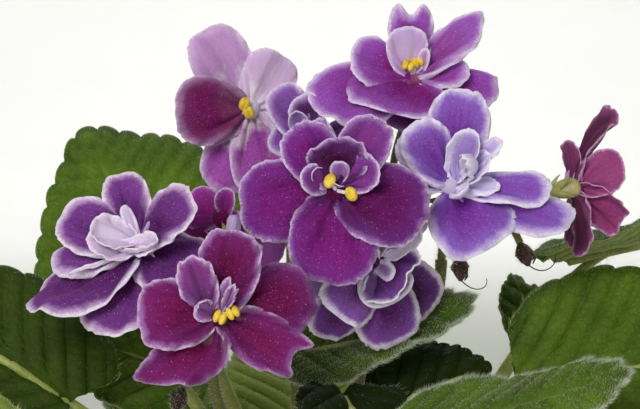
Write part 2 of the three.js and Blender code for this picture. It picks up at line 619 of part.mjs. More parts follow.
// The closed bud and the dried calyces, placed like blooms
const BUDS = {
  left: { throat: [-21.8, -38.3, 197], yaw: -10, pitch: 85 },
};
const DRIED = {
  right: { throat: [35.4, -38, 183.5], yaw: 10, pitch: -78 },
  farRight: { throat: [51.8, -35, 186.5], yaw: 40, pitch: -60 },
  left: { throat: [-35.1, -51, 153], yaw: -40, pitch: -55 },
};

// Flower stalks, each with its place on the crown, its fork and what it carries
const STALKS = {
  left: {
    from: 218, height: 98, spread: 0.7, fork: [-28.5, -24, 157],
    carries: [BLOOMS.left, BLOOMS.frontLeft, BLOOMS.hidden, BUDS.left], spent: [DRIED.left],
  },
  centre: {
    from: 94, height: 98, spread: 0.02, fork: [4, -2, 184], carries: [BLOOMS.centre, BLOOMS.bottom],
  },
  back: {
    from: 138, height: 98, spread: 0.1, fork: [-8, 5, 190], carries: [BLOOMS.backLeft, BLOOMS.midBack],
  },
  top: { from: 50, height: 98, spread: 0.15, fork: [20, 6, 200], carries: [BLOOMS.top] },
  right: {
    from: 334, height: 98, spread: 0.4, fork: [33, -3, 178],
    carries: [BLOOMS.right, BLOOMS.farRight], spent: [DRIED.right, DRIED.farRight],
  },
};

const root = new THREE.Group();
const materials = Object.fromEntries(Object.entries(COLOURS).map(([name, color]) => [
  name, new THREE.MeshStandardMaterial({ name, color, roughness: 0.7, metalness: 0 }),
]));

// Adds a solid to the model as one named piece.
function place(name, solid, material) {
  const { vertProperties, triVerts } = solid.simplify(SIMPLER).getMesh();
  const geometry = new THREE.BufferGeometry();
  geometry.setAttribute("position", new THREE.BufferAttribute(new Float32Array(vertProperties), 3));
  geometry.setIndex(Array.from(triVerts));
  const mesh = new THREE.Mesh(geometry, materials[material]);
  mesh.name = name;
  root.add(mesh);
}

place("pot", potSolid(), "pot");
place("soil", soilSolid(), "soil");
place("crown", crownSolid, "crown");
Object.entries(LEAVES).forEach(([name, leaf]) => place(`leaf_${name}`, leafSolid(leaf), "leaf"));
Object.entries(BLOOMS).forEach(([name, bloom]) => {
  place(`bloom_${name}`, corolla(bloom), bloom.tint);
  if (bloom.sacs) place(`anthers_${name}`, anthers(bloom), "anther");
});
Object.entries(BUDS).forEach(([name, bud]) => place(`bud_${name}`, budSolid(bud), "violet"));
Object.entries(DRIED).forEach(([name, dried]) => {
  const solid = calyx(point(...dried.throat), bloomAxes(dried), SPENT.sepal, SPENT.spread);
  place(`dried_${name}`, solid, "spent");
});
Object.entries(STALKS).forEach(([name, stalk]) => place(`stalk_${name}`, flowerStalk(stalk), "stalk"));

export default root;
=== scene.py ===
"""A potted African violet in flower, dressed for rendering: velvety petals with pale ragged edges, quilted
hairy leaves, hairy stalks, a clay pot and potting mix, each piece standing for its solid in the frame."""
import math

import bpy
import numpy as np
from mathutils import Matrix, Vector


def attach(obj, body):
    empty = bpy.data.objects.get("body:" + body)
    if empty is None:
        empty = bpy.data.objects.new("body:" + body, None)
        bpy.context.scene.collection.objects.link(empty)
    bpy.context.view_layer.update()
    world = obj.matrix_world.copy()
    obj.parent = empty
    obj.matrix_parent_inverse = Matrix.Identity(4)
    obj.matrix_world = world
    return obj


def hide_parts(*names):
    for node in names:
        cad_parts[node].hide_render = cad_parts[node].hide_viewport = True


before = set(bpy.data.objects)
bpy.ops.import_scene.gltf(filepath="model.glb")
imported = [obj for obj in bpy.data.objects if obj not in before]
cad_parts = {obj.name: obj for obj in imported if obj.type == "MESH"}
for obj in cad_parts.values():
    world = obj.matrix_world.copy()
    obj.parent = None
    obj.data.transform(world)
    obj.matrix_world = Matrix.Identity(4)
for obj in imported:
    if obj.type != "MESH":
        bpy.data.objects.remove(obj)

bl_info = {
    "name": "Potted African violet",
    "version": (1, 0, 0),
    "blender": (4, 5, 0),
    "location": "3D View > Sidebar > Violet",
    "description": "Builds a potted African violet in flower over its packed frame",
    "category": "Object",
}

MM = 0.001
LENS = 101.25  # focal length in millimetres, on a sensor 36 mm wide
FOCUS = np.array([0, -0.04, 0.2])  # the middle bloom, in metres
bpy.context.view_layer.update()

# Sizes that the frame's solids were made with, in millimetres
POT = {"height": 88, "foot": 36, "mouth": 48, "wall": 3, "lip": 3, "lip_height": 14}
DRAIN = {"count": 4, "radius": 3.5, "from": 20}
SOIL = {"top": 72, "mound": 4}
CROWN = {"radius": 9, "bottom": 54, "top": 102}
LEAF = {"thick": 1.1, "rim": 0.35, "setback": 0.16, "stalk_base": 2.4, "stalk_tip": 1.8, "scallops": 25}
PETAL = {"thick": 0.55, "rim": 0.22}
TUBE = {"radius": 2.8, "length": 6, "above": 1.6}
CALYX = {"radius": 2.4, "length": 2.6, "sepal": 7, "spread": 24, "seat_gap": 0.3}
SPENT = {"sepal": 5.5, "spread": 66}
BUD = {"long": 3, "round": 2}
ANTHER = {"long": 1.9, "round": 1.4, "filament": 0.5}
STALK = {"base": 1.8, "fork": 1.4, "pedicel": 1, "height": 98}
VEIN = {"spacing": 6.4, "slant": 0.85, "cross": 3.6, "bulge": 1.6, "midrib": 1.3}
CUTOUT = 0.88  # share of a full turn that a blade's outline fills

FULL_PETAL = 20  # reach from which a petal's unevenness has its full size
SMALL_PETAL = 12  # reach under which a petal has a coarser mesh and finer ruffles
FIRST_FRILL = 20  # the number of a bloom's first frill, after those of its petals


def flap(turn, reach, wide, lift, **more):
    """A petal: its direction clockwise from the bloom's up, length, width, and angle out of the bloom's plane."""
    return dict(turn=turn, reach=reach, wide=wide, lift=lift, **more)


def frond(joint, heading, rise, reach, wide, leaves_at, height, climb, **more):
    """A leaf: where its blade starts, its heading, rise, length and width, and the heading, height and steepness
    with which its stalk leaves the crown."""
    return dict(joint=joint, heading=heading, rise=rise, reach=reach, wide=wide, leaves_at=leaves_at, height=height,
                climb=climb, **more)


# Each bloom's throat in millimetres, the way it faces in degrees, its pollen sacs and its petals
BLOOMS = {
    "centre": dict(
        throat=[4, -47, 204.5], yaw=0, pitch=16, sacs=[[-1.6, 2.1], [3.6, -1.1]],
        petals=[
            flap(261, 24.4, 21.4, 0, curl=-6, wave=0.8, square=0.8, egg=0.15),
            flap(183, 23, 22.6, 8, curl=-14, wave=0.9, layer=0.6, square=0.68, egg=0.05),
            flap(106, 23, 21, 12, curl=-12, wave=0.8, layer=1, square=0.65, egg=0.05),
            flap(326, 19, 14.5, 20, curl=-10, cup=1, layer=1, square=0.7),
            flap(346, 18.5, 6.5, 18, curl=-8, layer=0.6),
            flap(32, 20.8, 13.5, 18, curl=-5, cup=1, layer=1, square=0.75),
            flap(1, 15, 15.5, 26, curl=30, cup=2, layer=1.2, wave=1.1, square=0.65, crinkle=0.55),
            flap(292, 10.5, 8, 35, curl=20, cup=1.5, layer=1.2, at=[-1.4, 0.7]),
            flap(63, 12.5, 10, 35, curl=10, cup=1.5, layer=1.2, at=[1.2, 1.3]),
            flap(8, 8.5, 5, 45, curl=20, layer=1.2, at=[0.3, 1.2]),
        ],
    ),
    "frontLeft": dict(
        throat=[-24.5, -57, 175.5], yaw=-6, pitch=20, sacs=[[0.8, -0.8], [3.9, 0.4]], halves=[-0.5, 0.62],
        petals=[
            flap(73, 23.6, 19, 0, curl=-5, wave=0.8, square=0.7),
            flap(117, 22, 14.5, 6, curl=-15, wave=2, waves=4, layer=0.6, square=0.7,
                 lobes=[[0.42, 3, 0.24], [0.02, -1.6, 0.22], [-0.45, 1.5, 0.28], [-0.9, -1, 0.2]]),
            flap(201, 21, 17, 3, curl=-15, wave=2, waves=4, layer=0.3, bend=-8,
                 lobes=[[-0.4, 2.4, 0.42], [0.4, -1.2, 0.25]]),
            flap(268, 19.8, 18.3, 20, curl=-5, cup=1, layer=1, square=0.75),
            flap(13, 21.6, 16.5, 24, curl=-8, cup=1, layer=0.9, square=0.75),
            flap(345, 17, 10, 40, curl=5, cup=1.5, layer=1.2, at=[-2.4, 0]),
            flap(21, 10.5, 3.5, 38, layer=1.2, point=1),
            flap(278, 6.5, 5, 50, layer=1.2, at=[-0.8, 0]),
        ],
    ),
    "left": dict(
        throat=[-45, -42, 190], yaw=-15, pitch=52,
        petals=[
            flap(241, 31, 25, -7, curl=-3, tilt=14, wave=1.6, egg=-0.05, at=[1, -2], point=1),
            flap(192, 25, 22, -11, curl=-8, wave=1),
            flap(112, 17.5, 22, -7, curl=-6, wave=1, square=0.7),
            flap(252, 23, 14, 1, wave=0.5),
            flap(334, 18.7, 12.5, 30, curl=5, cup=1, layer=0.9, square=0.75),
            flap(271, 20.8, 16.5, 20, curl=5, cup=1.5, tilt=-14, layer=1, square=0.75),
            flap(62, 18.8, 17.5, 30, curl=5, cup=1.5, layer=1, square=0.75),
            flap(238, 13.4, 12, 12, curl=38, cup=1.5, layer=1.2, at=[0, -0.8]),
            flap(133, 9, 6, 20, curl=20, layer=1.2, at=[0, -0.8]),
            flap(325, 10, 3.5, 42, layer=1.2),
        ],
    ),
    "top": dict(
        throat=[24, -15, 228.5], yaw=4, pitch=48, sacs=[[-1.3, 1], [1, 2.2]], halves=[-0.5, 0.62], out=4.6,
        petals=[
            flap(248, 29, 22, 12, curl=-10, wave=0.8, square=0.75),
            flap(202, 18, 30, 22, curl=-6, wave=0.8, layer=0.4, square=0.6),
            flap(98, 23, 14, 2, curl=-3, wave=0.6),
            flap(359, 20, 12.5, 40, notch=3.4, layer=1, square=0.75),
            flap(277, 17.8, 16, 22, cup=1, curl=5, tilt=-10, layer=1, square=0.75),
            flap(58, 23, 11.5, 30, layer=1, point=1.6),
            flap(350, 13.2, 11.5, 52, cup=1.5, layer=1.2, at=[-0.8, 0], square=0.7),
            flap(89, 15, 10, 12, layer=0.8),
        ],
    ),
    "backLeft": dict(
        throat=[-19, 0, 219], yaw=8, pitch=8, sacs=[[-1.8, 1.4], [-0.7, -0.8]],
        petals=[
            flap(331, 25, 17, 8, curl=-10, wave=0.8, square=0.75),
            flap(30, 17.2, 15.5, 12, curl=-5, wave=0.8, layer=0.5, square=0.7),
            flap(269, 21, 19.5, 18, curl=-5, cup=1, layer=1, square=0.7),
            flap(202, 23.6, 16, 4, curl=-10, wave=0.8, square=0.75),
            flap(172, 24, 16, 10, curl=-10, wave=0.8, layer=0.7, square=0.75),
            flap(110, 13, 11, 5, layer=0.2),
        ],
    ),
    "midBack": dict(
        throat=[-3, -22, 212.4], yaw=-20, pitch=40,
        petals=[
            flap(324, 16.8, 11.5, 35, cup=1.5, layer=0.9, square=0.75),
            flap(4, 12.5, 10.5, 42, cup=2, layer=1, point=1),
            flap(282, 11, 11, 10),
            flap(190, 14, 14, -5),
            flap(110, 14, 12, 0),
        ],
    ),
    "right": dict(
        throat=[33, -37, 204], yaw=-12, pitch=36,
        petals=[
            flap(147, 20, 22, 4, curl=-12, wave=0.8, layer=0.7, square=0.65, egg=0.1),
            flap(111, 31.5, 13, 0, curl=-5, wave=0.6, bend=4),
            flap(94, 25.5, 10.5, 10, curl=-6, wave=1.2, layer=1),
            flap(276, 14, 7.5, 4, layer=0.6),
            flap(318, 20, 13, 3),
            flap(8, 24.4, 16.5, 38, layer=0.9, square=0.75),
            flap(318, 18.6, 14, 43, cup=1, layer=1, square=0.75),
            flap(12, 13, 9, 50, curl=-30, cup=-1.5, layer=1.2, at=[1.2, 0]),
            flap(70, 13.5, 8, 30, cup=2.5, curl=30, layer=1.2, at=[1.5, 0.2]),
            flap(58, 17, 6, 40, cup=1, layer=1, at=[1.5, 0.5]),
            flap(97, 12.5, 6, 14, layer=1.2, point=0.6),
        ],
    ),
    "farRight": dict(
        throat=[65.5, -29, 202.5], yaw=118, pitch=4,
        petals=[
            flap(2, 23.5, 8.5, 5, curl=66, wave=0.8, cup=1),
            flap(25, 12.5, 9, 0, cup=1.5, curl=10),
            flap(301, 15.2, 12, 32, cup=-1, curl=-8, square=0.75),
            flap(233, 16, 13, 30, cup=-1, curl=-8, notch=1.2, square=0.7),
            flap(196, 18, 9.5, -8, cup=2),
            flap(166, 17, 9.5, 3, cup=2),
            flap(95, 19, 11, 70, curl=5),
        ],
    ),
    "bottom": dict(
        throat=[13.5, -37, 185], yaw=12, pitch=-8,
        petals=[
            flap(135, 22.5, 19, 0, curl=-5, square=0.7),
            flap(166, 23.5, 18, 8, curl=-5, layer=0.6, square=0.7),
            flap(212, 24.8, 15, 0, curl=-5),
            flap(221, 17, 17, 18, curl=10, layer=0.9, square=0.6),
            flap(158, 11.8, 15, 32, curl=20, cup=2.5, layer=1.2, wave=0.6, square=0.7),
            flap(48, 17, 5, 12, layer=0.6),
            flap(118, 7, 5, 55, layer=1.2),
            flap(300, 14, 13, 5),
            flap(0, 13, 13, 5),
        ],
    ),
    "hidden": dict(
        throat=[-24.5, -28, 194.5], yaw=-14, pitch=14,
        petals=[
            flap(288, 11, 12, 6, square=0.75),
            flap(18, 8.6, 6, 30, cup=2, layer=1),
            flap(228, 14, 13, 0),
            flap(165, 12, 12, 0),
            flap(100, 5.5, 5, 20, layer=0.8),
        ],
    ),
}

# Places in millimetres, and headings in degrees anticlockwise from the right, seen from above
LEAVES = {
    "backLeft": frond([-42, 17, 169], 137, 38, 54, 78, 168.5, 92.5, 1.6, roll=-40, egg=-0.32, point=7, cup=-10, fold=0,
        curl=-8, bend=-5),
    "farLeft": frond([-65, -34, 147], 172, 33, 60, 50, 211.5, 86, 1, roll=-48, curl=-12),
    "nearLeft": frond([-75, -72, 143], 188, 16, 42, 40, 237, 85.2, 0.3, roll=-38),
    "front": frond([-6, -20, 156.5], 355, 10, 46, 32, 271, 94.5, 3, roll=30, curl=20, egg=-0.38, point=4.5, arrive=0.1),
    "shaded": frond([18, -27.5, 143.5], 8, 24, 27, 32, 308, 90, 2.2, roll=45, curl=-10, arrive=0.1),
    "underFront": frond([6, -35, 149.5], 288, -14, 30, 31, 262, 84, 1.8, roll=-4, arrive=0.15),
    "nearRight": frond([21, -62, 145], 354, 14, 54, 46, 294, 86, 0.8, roll=12, curl=12, arrive=0.12),
    "right": frond([50, -37, 154], 358, 9, 70, 57, 345, 86, 0.5, roll=50, arrive=0.1, egg=-0.1, square=0.7,
        setback=0.03),
    "backRight": frond([65, 1, 177], 10, 11, 58, 54, 14, 93, 0.45, roll=-15, cup=4, curl=-5, arrive=0.06),
    "behindRight": frond([60, 15, 152], 100, 55, 20, 18, 46, 92, 0.6, arrive=0.12),
    "behindLeft": frond([-38, -12, 149], 176, 22, 31, 35, 190.5, 90, 0.9, roll=-50, arrive=0.15),
    "midLeft": frond([-34, 26, 118], 136, 36, 48, 48, 135, 88, 0.5),
    "midBack": frond([-6, 36, 121], 97, 34, 46, 46, 98, 88, 0.5),
    "midRight": frond([32, 33, 112], 48, 24, 46, 46, 71, 90.5, 0.4),
    "lowRight": frond([56, 5, 105], 12, 8, 54, 46, 6, 80.5, 0.3),
    "lowBack": frond([22, 50, 108], 66, 10, 54, 48, 60, 80.5, 0.3),
    "lowBackLeft": frond([-26, 50, 108], 120, 10, 54, 48, 112, 80.5, 0.3),
    "lowLeft": frond([-56, 8, 104], 172, 8, 54, 46, 168, 80.5, 0.3),
    "lowNearLeft": frond([-42, -42, 104], 228, 4, 52, 44, 222, 80.5, 0.3),
    "lowFront": frond([6, -58, 104], 276, 2, 52, 44, 272, 80.5, 0.3),
    "lowNearRight": frond([48, -36, 104], 324, 6, 52, 42, 318, 80.5, 0.3),
}

# Closed buds and the dried calyces of fallen blooms, placed as the blooms are
BUDS = {
    "left": dict(throat=[-21.8, -38.3, 197], yaw=-10, pitch=85),
}

DRIED = {
    "right": dict(throat=[35.4, -38, 183.5], yaw=10, pitch=-78),
    "farRight": dict(throat=[51.8, -35, 186.5], yaw=40, pitch=-60),
    "left": dict(throat=[-35.1, -51, 153], yaw=-40, pitch=-55),
}

# Flower stalks: where each leaves the crown and where it forks, and the blooms and dried calyces that it carries
STALKS = {
    "left": dict(
        leaves_at=218, spread=0.7, fork=[-28.5, -24, 157],
        carries=["left", "frontLeft", "hidden", "bud"], spent=["left"],
    ),
    "centre": dict(leaves_at=94, spread=0.02, fork=[4, -2, 184], carries=["centre", "bottom"]),
    "back": dict(leaves_at=138, spread=0.1, fork=[-8, 5, 190], carries=["backLeft", "midBack"]),
    "top": dict(leaves_at=50, spread=0.15, fork=[20, 6, 200], carries=["top"]),
    "right": dict(
        leaves_at=334, spread=0.4, fork=[33, -3, 178],
        carries=["right", "farRight"], spent=["right", "farRight"],
    ),
}

# How many hairs a leaf has beside the usual number
LEAF_HAIRS = {
    "front": 2.0, "nearRight": 1.1, "backRight": 0.5, "right": 0.14, "behindLeft": 0.12, "behindRight": 0.1,
    "nearLeft": 0.1, "backLeft": 0.08, "farLeft": 0.08, "underFront": 0.06, "shaded": 0.04,
}

# Painted shade: how much darker than the rest a leaf in shadow is painted, or, below nought, painted light that
# makes it paler where the light comes through it
LEAF_SHADES = {
    "underFront": 0.97, "shaded": 0.95, "farLeft": 0.68, "midRight": 0.5, "front": 0.5, "backRight": 0.35,
    "behindLeft": 0.3, "nearRight": 0.05, "backLeft": 0, "midLeft": -0.1, "midBack": -0.4, "nearLeft": -0.4,
}

# Small rolled petals inside a bloom, which are too fine for its solid
FRILLS = {
    "centre": [
        flap(318, 7, 4.2, 30, curl=60, cup=1.2, layer=1.6, at=[-3.2, 2.2], roll=-1.5),
        flap(205, 4.6, 3.2, 60, curl=45, cup=0.8, layer=1.4, at=[0.6, 1.6]),
    ],
    "frontLeft": [
        flap(40, 12.5, 3, 46, curl=24, cup=0.9, layer=1.3, at=[0.8, 0.6]),
        flap(318, 7.5, 4.6, 48, curl=50, cup=1, layer=1.3, at=[-2.2, 0.8], roll=-1.5),
    ],
    "left": [
        flap(252, 13, 11.5, 15, curl=30, cup=2, layer=2.4, at=[0.5, -0.3], roll=-1.5, crinkle=0.2),
        flap(92, 13, 5.5, 8, curl=22, cup=1.8, layer=2.2, at=[-4, -3.8], roll=-2.5),
        flap(233, 17, 1, 6, curl=-4, layer=1.1, at=[-1, -2.6], roll=0),
    ],
    "top": [
        flap(34, 8, 3.6, 58, curl=30, cup=0.8, layer=1.2, at=[1.8, 0.8]),
        flap(212, 13, 20, -38, layer=-0.6, wave=0.8, square=0.6),
    ],
    "right": [
        flap(36, 15, 8.5, 58, curl=-20, cup=2.4, layer=1.3, at=[1.2, 1.4], roll=-1.8),
        flap(58, 16, 4.6, 44, curl=66, cup=1.6, layer=1.3, at=[3.2, -0.4], roll=-2.2),
        flap(128, 8.5, 6, 28, curl=50, cup=1.2, layer=1.4, at=[1, -2.2], roll=-2),
    ],
    "bottom": [
        flap(252, 19, 14, 2, curl=-5, layer=-0.3, square=0.75),
        flap(132, 12.5, 19, 36, curl=46, cup=2.2, layer=1.4, at=[1, 0.5], wave=1.2, waves=5, roll=-2.5, crinkle=0.35),
        flap(350, 8, 3.4, 34, curl=20, cup=1.2, layer=1.6, at=[-1, 1], roll=-1.5),
        flap(34, 17, 5, 26, curl=16, cup=2.4, layer=1.4, at=[1.5, 1.5], roll=-2.5, crinkle=0.25),
    ],
    "midBack": [
        flap(70, 18, 14, -6, layer=-0.5),
        flap(338, 9.5, 5.5, 46, curl=38, cup=1.4, layer=1.2, at=[-0.6, 0.8], roll=-1.5),
    ],
    "hidden": [
        flap(128, 18, 14, -14, layer=-0.4),
    ],
}

# Each bloom's colours: deep in the throat, mid on the petal, pale and dark for light and dark petals, outer towards
# the rim, haze and edge on the pale margin, and eye round the throat. band and line say how strong the margin's two
# parts are and how wide in millimetres, and the others how much there is of each thing. tones makes single petals
# lighter or darker, borders says how much of the margin they have, and bare takes it from one side
USUAL_LOOK = dict(
    throat=0.05, tube=-0.3, halo=-2, glow=0.5, reverse=0.3, line=0.8, glint=0.35, sparkle=0.55, ruffle=0.35, ragged=0.006,
    teeth=0.006, frill=0.5, tones={}, borders={}, bare={})
BLOOM_LOOKS = {
    "centre": dict(
        slot="petal_magenta", deep="#5C0349", mid="#861F86", pale="#B28CCB", dark="#40042A", edge="#F3E2F6",
        haze="#B68ACB", outer="#74409A", band=0.7, band_mm=1.0, line_mm=0.35, throat=-0.05, ragged=0.009, glow=0.45,
        teeth=0.009, tones={2: -0.55, 0: -0.15, 1: -0.1, 4: 0.2, 5: 0.1, 6: -0.9, 7: 0.1, 8: 0.1, 9: 0.6},
        borders={1: 0.8, 6: 0.7}),
    "frontLeft": dict(
        slot="petal_wine", deep="#540330", mid="#80165C", pale="#A06ABE", dark="#420324", edge="#EED5EC",
        haze="#B886C6", outer="#7E3A92", eye="#C2A88A", band=0.75, band_mm=1.05, line_mm=0.35, ragged=0.012, ruffle=0.8,
        throat=0.0, glow=0.38, halo=0.22, tones={0: -0.4, 1: -0.1, 2: -0.15, 4: -0.3, 5: 0.3, 6: 0.3, 7: 0.55},
        borders={0: 0.3, 1: 0.5, 2: 0.6}),
    "left": dict(
        slot="petal_violet", deep="#4C1056", mid="#7E3E92", pale="#EFE2F6", dark="#4A0A4C", edge="#FDF8FD",
        haze="#DDBDE2", outer="#80479C", glow=0.4, tube=0.85, band=0.9, band_mm=1.4, line_mm=0.5, throat=0.1,
        tones={0: -0.45, 1: -0.3, 2: -0.2, 6: -0.25, 7: 0.9, 8: 0.9, 9: 0.9, 20: 0.97, 21: 0.85, 22: 1.0}),
    "top": dict(
        slot="petal_bright", deep="#8E1580", mid="#9C50BA", pale="#EAD8F0", dark="#600E58", edge="#F8F0FA",
        haze="#D2AEE2", outer="#A562C2", eye="#C9A493", band=0.85, band_mm=1.3, line_mm=0.5, throat=0.25, halo=0.1,
        tones={6: 0.75, 1: -0.3, 5: 0.05, 21: -0.85}, borders={21: 0.5}, bare={1: -1}),
    "backLeft": dict(
        slot="petal_orchid", deep="#962E94", mid="#AE58B6", pale="#F2E6F6", dark="#6E0C50", edge="#F6EAF8",
        haze="#DCBEE6", outer="#BC86CC", eye="#F6EEF0", glow=0.12, tube=0.7, sparkle=0.3, band=0.65, band_mm=1.5,
        line_mm=0.4, throat=0.0, halo=0.5, tones={1: 0.55, 2: -0.95, 4: -0.1, 5: 0.3, 0: 0.3}, borders={2: 0.5}),
    "midBack": dict(
        slot="petal_violet", deep="#5C2276", mid="#82479E", pale="#B69CD8", dark="#3E0420", edge="#F5ECFA",
        haze="#C6A8DA", outer="#8A56B0", band=0.75, band_mm=1.3, line_mm=0.5, throat=0.0,
        tones={1: -0.9, 0: 0.1, 20: -0.8}),
    "right": dict(
        slot="petal_violet", deep="#6C1688", mid="#8A4CB2", pale="#EEE4F6", dark="#5A1A74", edge="#FDF8FF",
        haze="#E0CEF0", outer="#977AD6", glow=0.6, tube=0.7, band=0.85, band_mm=1.4, line_mm=0.55,
        tones={0: -0.1, 1: -0.15, 5: -0.05, 6: -0.05, 7: 0.6, 8: 0.85, 9: 0.65, 10: 0.95, 20: 0.3, 21: 1.0, 22: 1.0}),
    "farRight": dict(
        slot="petal_reverse", deep="#72164E", mid="#A64080", pale="#B878A4", dark="#280312", edge="#DDB4D0",
        haze="#AE5C98", outer="#A85592", glow=0.12, sparkle=0.15, band=0.4, band_mm=1.2, line_mm=0.25, throat=-0.1,
        glint=0.15, reverse=0.05, tones={0: -0.9, 1: -0.6, 2: 0.15, 3: -0.15, 4: -0.9, 5: -0.85, 6: -0.7}),
    "bottom": dict(
        slot="petal_violet", deep="#5E1766", mid="#8A46A2", pale="#DECBEE", dark="#2A0520", edge="#FFF6FF",
        haze="#D8BEEA", outer="#9262C0", line=1, band=0.95, band_mm=1.15, line_mm=0.75, teeth=0.01, throat=0.1,
        frill=0.05, tones={0: -0.75, 1: -0.3, 2: -0.4, 4: 0.15, 6: 0.4, 5: 0.2, 3: 0.05, 20: 0.25, 21: -0.45}),
    "hidden": dict(
        slot="petal_wine", deep="#6A0448", mid="#92247E", pale="#B078C2", dark="#4A0330", edge="#E8CDEA",
        haze="#B06AB4", outer="#933C9C", band=0.4, band_mm=0.8, line_mm=0.25, throat=0.0, tones={4: 0.4}),
    "bud": dict(
        slot="bud", deep="#7B5896", mid="#B99AD0", pale="#E6D8F2", dark="#4E2656", edge="#F6EEFA", haze="#D8C4E6",
        outer="#B99AD0", band=0.5, band_mm=0.8, line_mm=0.3, throat=-0.2),
}


def linear(code):
    """An sRGB hex code as linear red, green, blue and alpha."""
    parts = [int(code[i:i + 2], 16) / 255 for i in (1, 3, 5)]
    return (*[c / 12.92 if c <= 0.04045 else ((c + 0.055) / 1.055) ** 2.4 for c in parts], 1.0)


def placed(name, data):
    """A new object in the scene."""
    thing = bpy.data.objects.new(name, data)
    bpy.context.scene.collection.objects.link(thing)
    return thing


def settled(thing):
    """The mesh that an object's modifiers make of it."""
    return bpy.data.meshes.new_from_object(thing.evaluated_get(bpy.context.evaluated_depsgraph_get()))


def dress(piece, node):
    """Makes a finished piece ride on the root, and hides the solid that it stands for."""
    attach(piece, "root")
    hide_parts(node)
    return piece


class Shape:
    """The points, faces and marks of one piece while it is put together, in millimetres."""

    def __init__(self):
        self.points, self.faces, self.finishes, self.marks, self.count = [], [], [], {}, 0

    def add(self, points, faces, finish=0, **marks):
        """Adds one closed part, with marks that each give one number or direction a point."""
        points = np.asarray(points, float).reshape(-1, 3)
        self.points.append(points)
        self.faces += [tuple(int(i) + self.count for i in face) for face in faces]
        self.finishes += [finish] * len(faces)
        for name, value in marks.items():
            value = np.asarray(value, float)
            size = (len(points), 3) if value.shape[-1:] == (3,) else (len(points),)
            self.marks.setdefault(name, []).append((self.count, np.broadcast_to(value, size)))
        self.count += len(points)

    def bar(self, path, radii, sides, hairs, hair_size, finish=0):
        """Adds a round bar whose hairs stand straight out."""
        points, faces, outward = tube(path, radii, sides)
        self.add(points, faces, finish, hairs=hairs, hair_size=hair_size, hair_way=outward)

    def solid(self, name, materials):
        """The object that all parts make together."""
        mesh = bpy.data.meshes.new(name)
        mesh.from_pydata((np.concatenate(self.points) * MM).tolist(), [], self.faces)
        for material in materials:
            mesh.materials.append(material)
        mesh.polygons.foreach_set("material_index", self.finishes)
        mesh.polygons.foreach_set("use_smooth", [True] * len(self.faces))
        for mark, parts in self.marks.items():
            direction = parts[0][1].ndim == 2
            values = np.zeros((self.count, 3) if direction else self.count)
            for first, value in parts:
                values[first:first + len(value)] = value
            kind, field = ("FLOAT_VECTOR", "vector") if direction else ("FLOAT", "value")
            mesh.attributes.new(mark, kind, "POINT").data.foreach_set(field, values.ravel())
        mesh.validate()
        mesh.update()
        return placed(name, mesh)

    def piece(self, name, materials, node, slot):
        """The finished object, riding on its body."""
        return dress(self.solid(name, materials), node)


def unit(vector):
    return vector / np.linalg.norm(vector, axis=-1, keepdims=True)


def smooth(low, high, value):
    """0 below low, 1 above high and a smooth step between."""
    share = np.clip((value - low) / (high - low), 0, 1)
    return share * share * (3 - 2 * share)


def doubled(mark):
    """A mark of a grid's points, for both sides of its shell."""
    return np.concatenate([mark.ravel(), mark.ravel()])


def shell(points, thick):
    """The points, faces and normals of a closed thin shell on both sides of a grid of points, rows first."""
    rows, columns = points.shape[:2]
    normals = unit(np.cross(np.gradient(points, axis=0), np.gradient(points, axis=1)) + 1e-12)
    half = normals * (thick / 2)[..., None]
    count = rows * columns
    index = np.arange(count).reshape(rows, columns)
    a, b = index[:-1, :-1].ravel(), index[:-1, 1:].ravel()
    c, d = index[1:, 1:].ravel(), index[1:, :-1].ravel()
    border = np.concatenate([index[0, :-1], index[:-1, -1], index[-1, :0:-1], index[:0:-1, 0]])
    after = np.roll(border, -1)
    faces = np.concatenate([np.stack([a, d, c, b], 1), np.stack([a, b, c, d], 1) + count,
                            np.stack([border, after, after + count, border + count], 1)])
    both = np.concatenate([(points + half).reshape(-1, 3), (points - half).reshape(-1, 3)])
    return both, faces.tolist(), normals.reshape(-1, 3)


def ring_faces(rings, sides):
    """The faces between rings of points, and those that join the first and last ring to two more points."""
    count, k = rings * sides, np.arange(sides)
    after = (k + 1) % sides
    row = np.arange(rings - 1)[:, None] * sides
    walls = np.stack([row + k, row + after, row + after + sides, row + k + sides], -1)
    first, last = np.full(sides, count), count - sides
    ends = np.stack([first, after, k, first + 1, last + k, last + after], 1).reshape(sides, 2, 3)
    return walls, ends


def tube(path, radii, sides):
    """The points, faces and outward directions of a closed round bar along a path of points."""
    path = np.asarray(path, float)
    radii = np.broadcast_to(np.asarray(radii, float), len(path))
    ways = unit(np.gradient(path, axis=0))
    side = unit(np.cross(ways[0], [0.31, 0.9, 0.29]))
    points, outward = [], []
    turns = 2 * np.pi * np.arange(sides)[:, None] / sides
    for centre, way, radius in zip(path, ways, radii):
        side = unit(side - way * np.dot(side, way))
        outward.append(np.cos(turns) * side + np.sin(turns) * np.cross(way, side))
        points.append(centre + outward[-1] * radius)
    bulge = 0.4  # how far the rounded ends stand out, as a share of the radius
    points += [path[:1] - ways[:1] * radii[0] * bulge, path[-1:] + ways[-1:] * radii[-1] * bulge]
    walls, ends = ring_faces(len(path), sides)
    faces = walls.reshape(-1, 4).tolist() + ends.reshape(-1, 3).tolist()
    return np.concatenate(points), faces, np.concatenate(outward + [-ways[:1], ways[-1:]])


def lathe(profile, sides, wobble=None):
    """The points and faces of a closed turned shape from (radius, height) pairs that start and end on its axis."""
    profile = np.asarray(profile, float)
    turns = 2 * np.pi * np.arange(sides) / sides
    inner = profile[1:-1]
    rings = np.stack([inner[:, :1] * np.cos(turns), inner[:, :1] * np.sin(turns),
                      np.repeat(inner[:, 1:], sides, 1)], -1)
    if wobble:
        rings = wobble(rings)
    points = np.concatenate([rings.reshape(-1, 3), [[0, 0, profile[0, 1]], [0, 0, profile[-1, 1]]]])
    walls, ends = ring_faces(len(inner), sides)
    return points, [face for k in range(sides) for face in ends[k].tolist() + walls[:, k].tolist()]


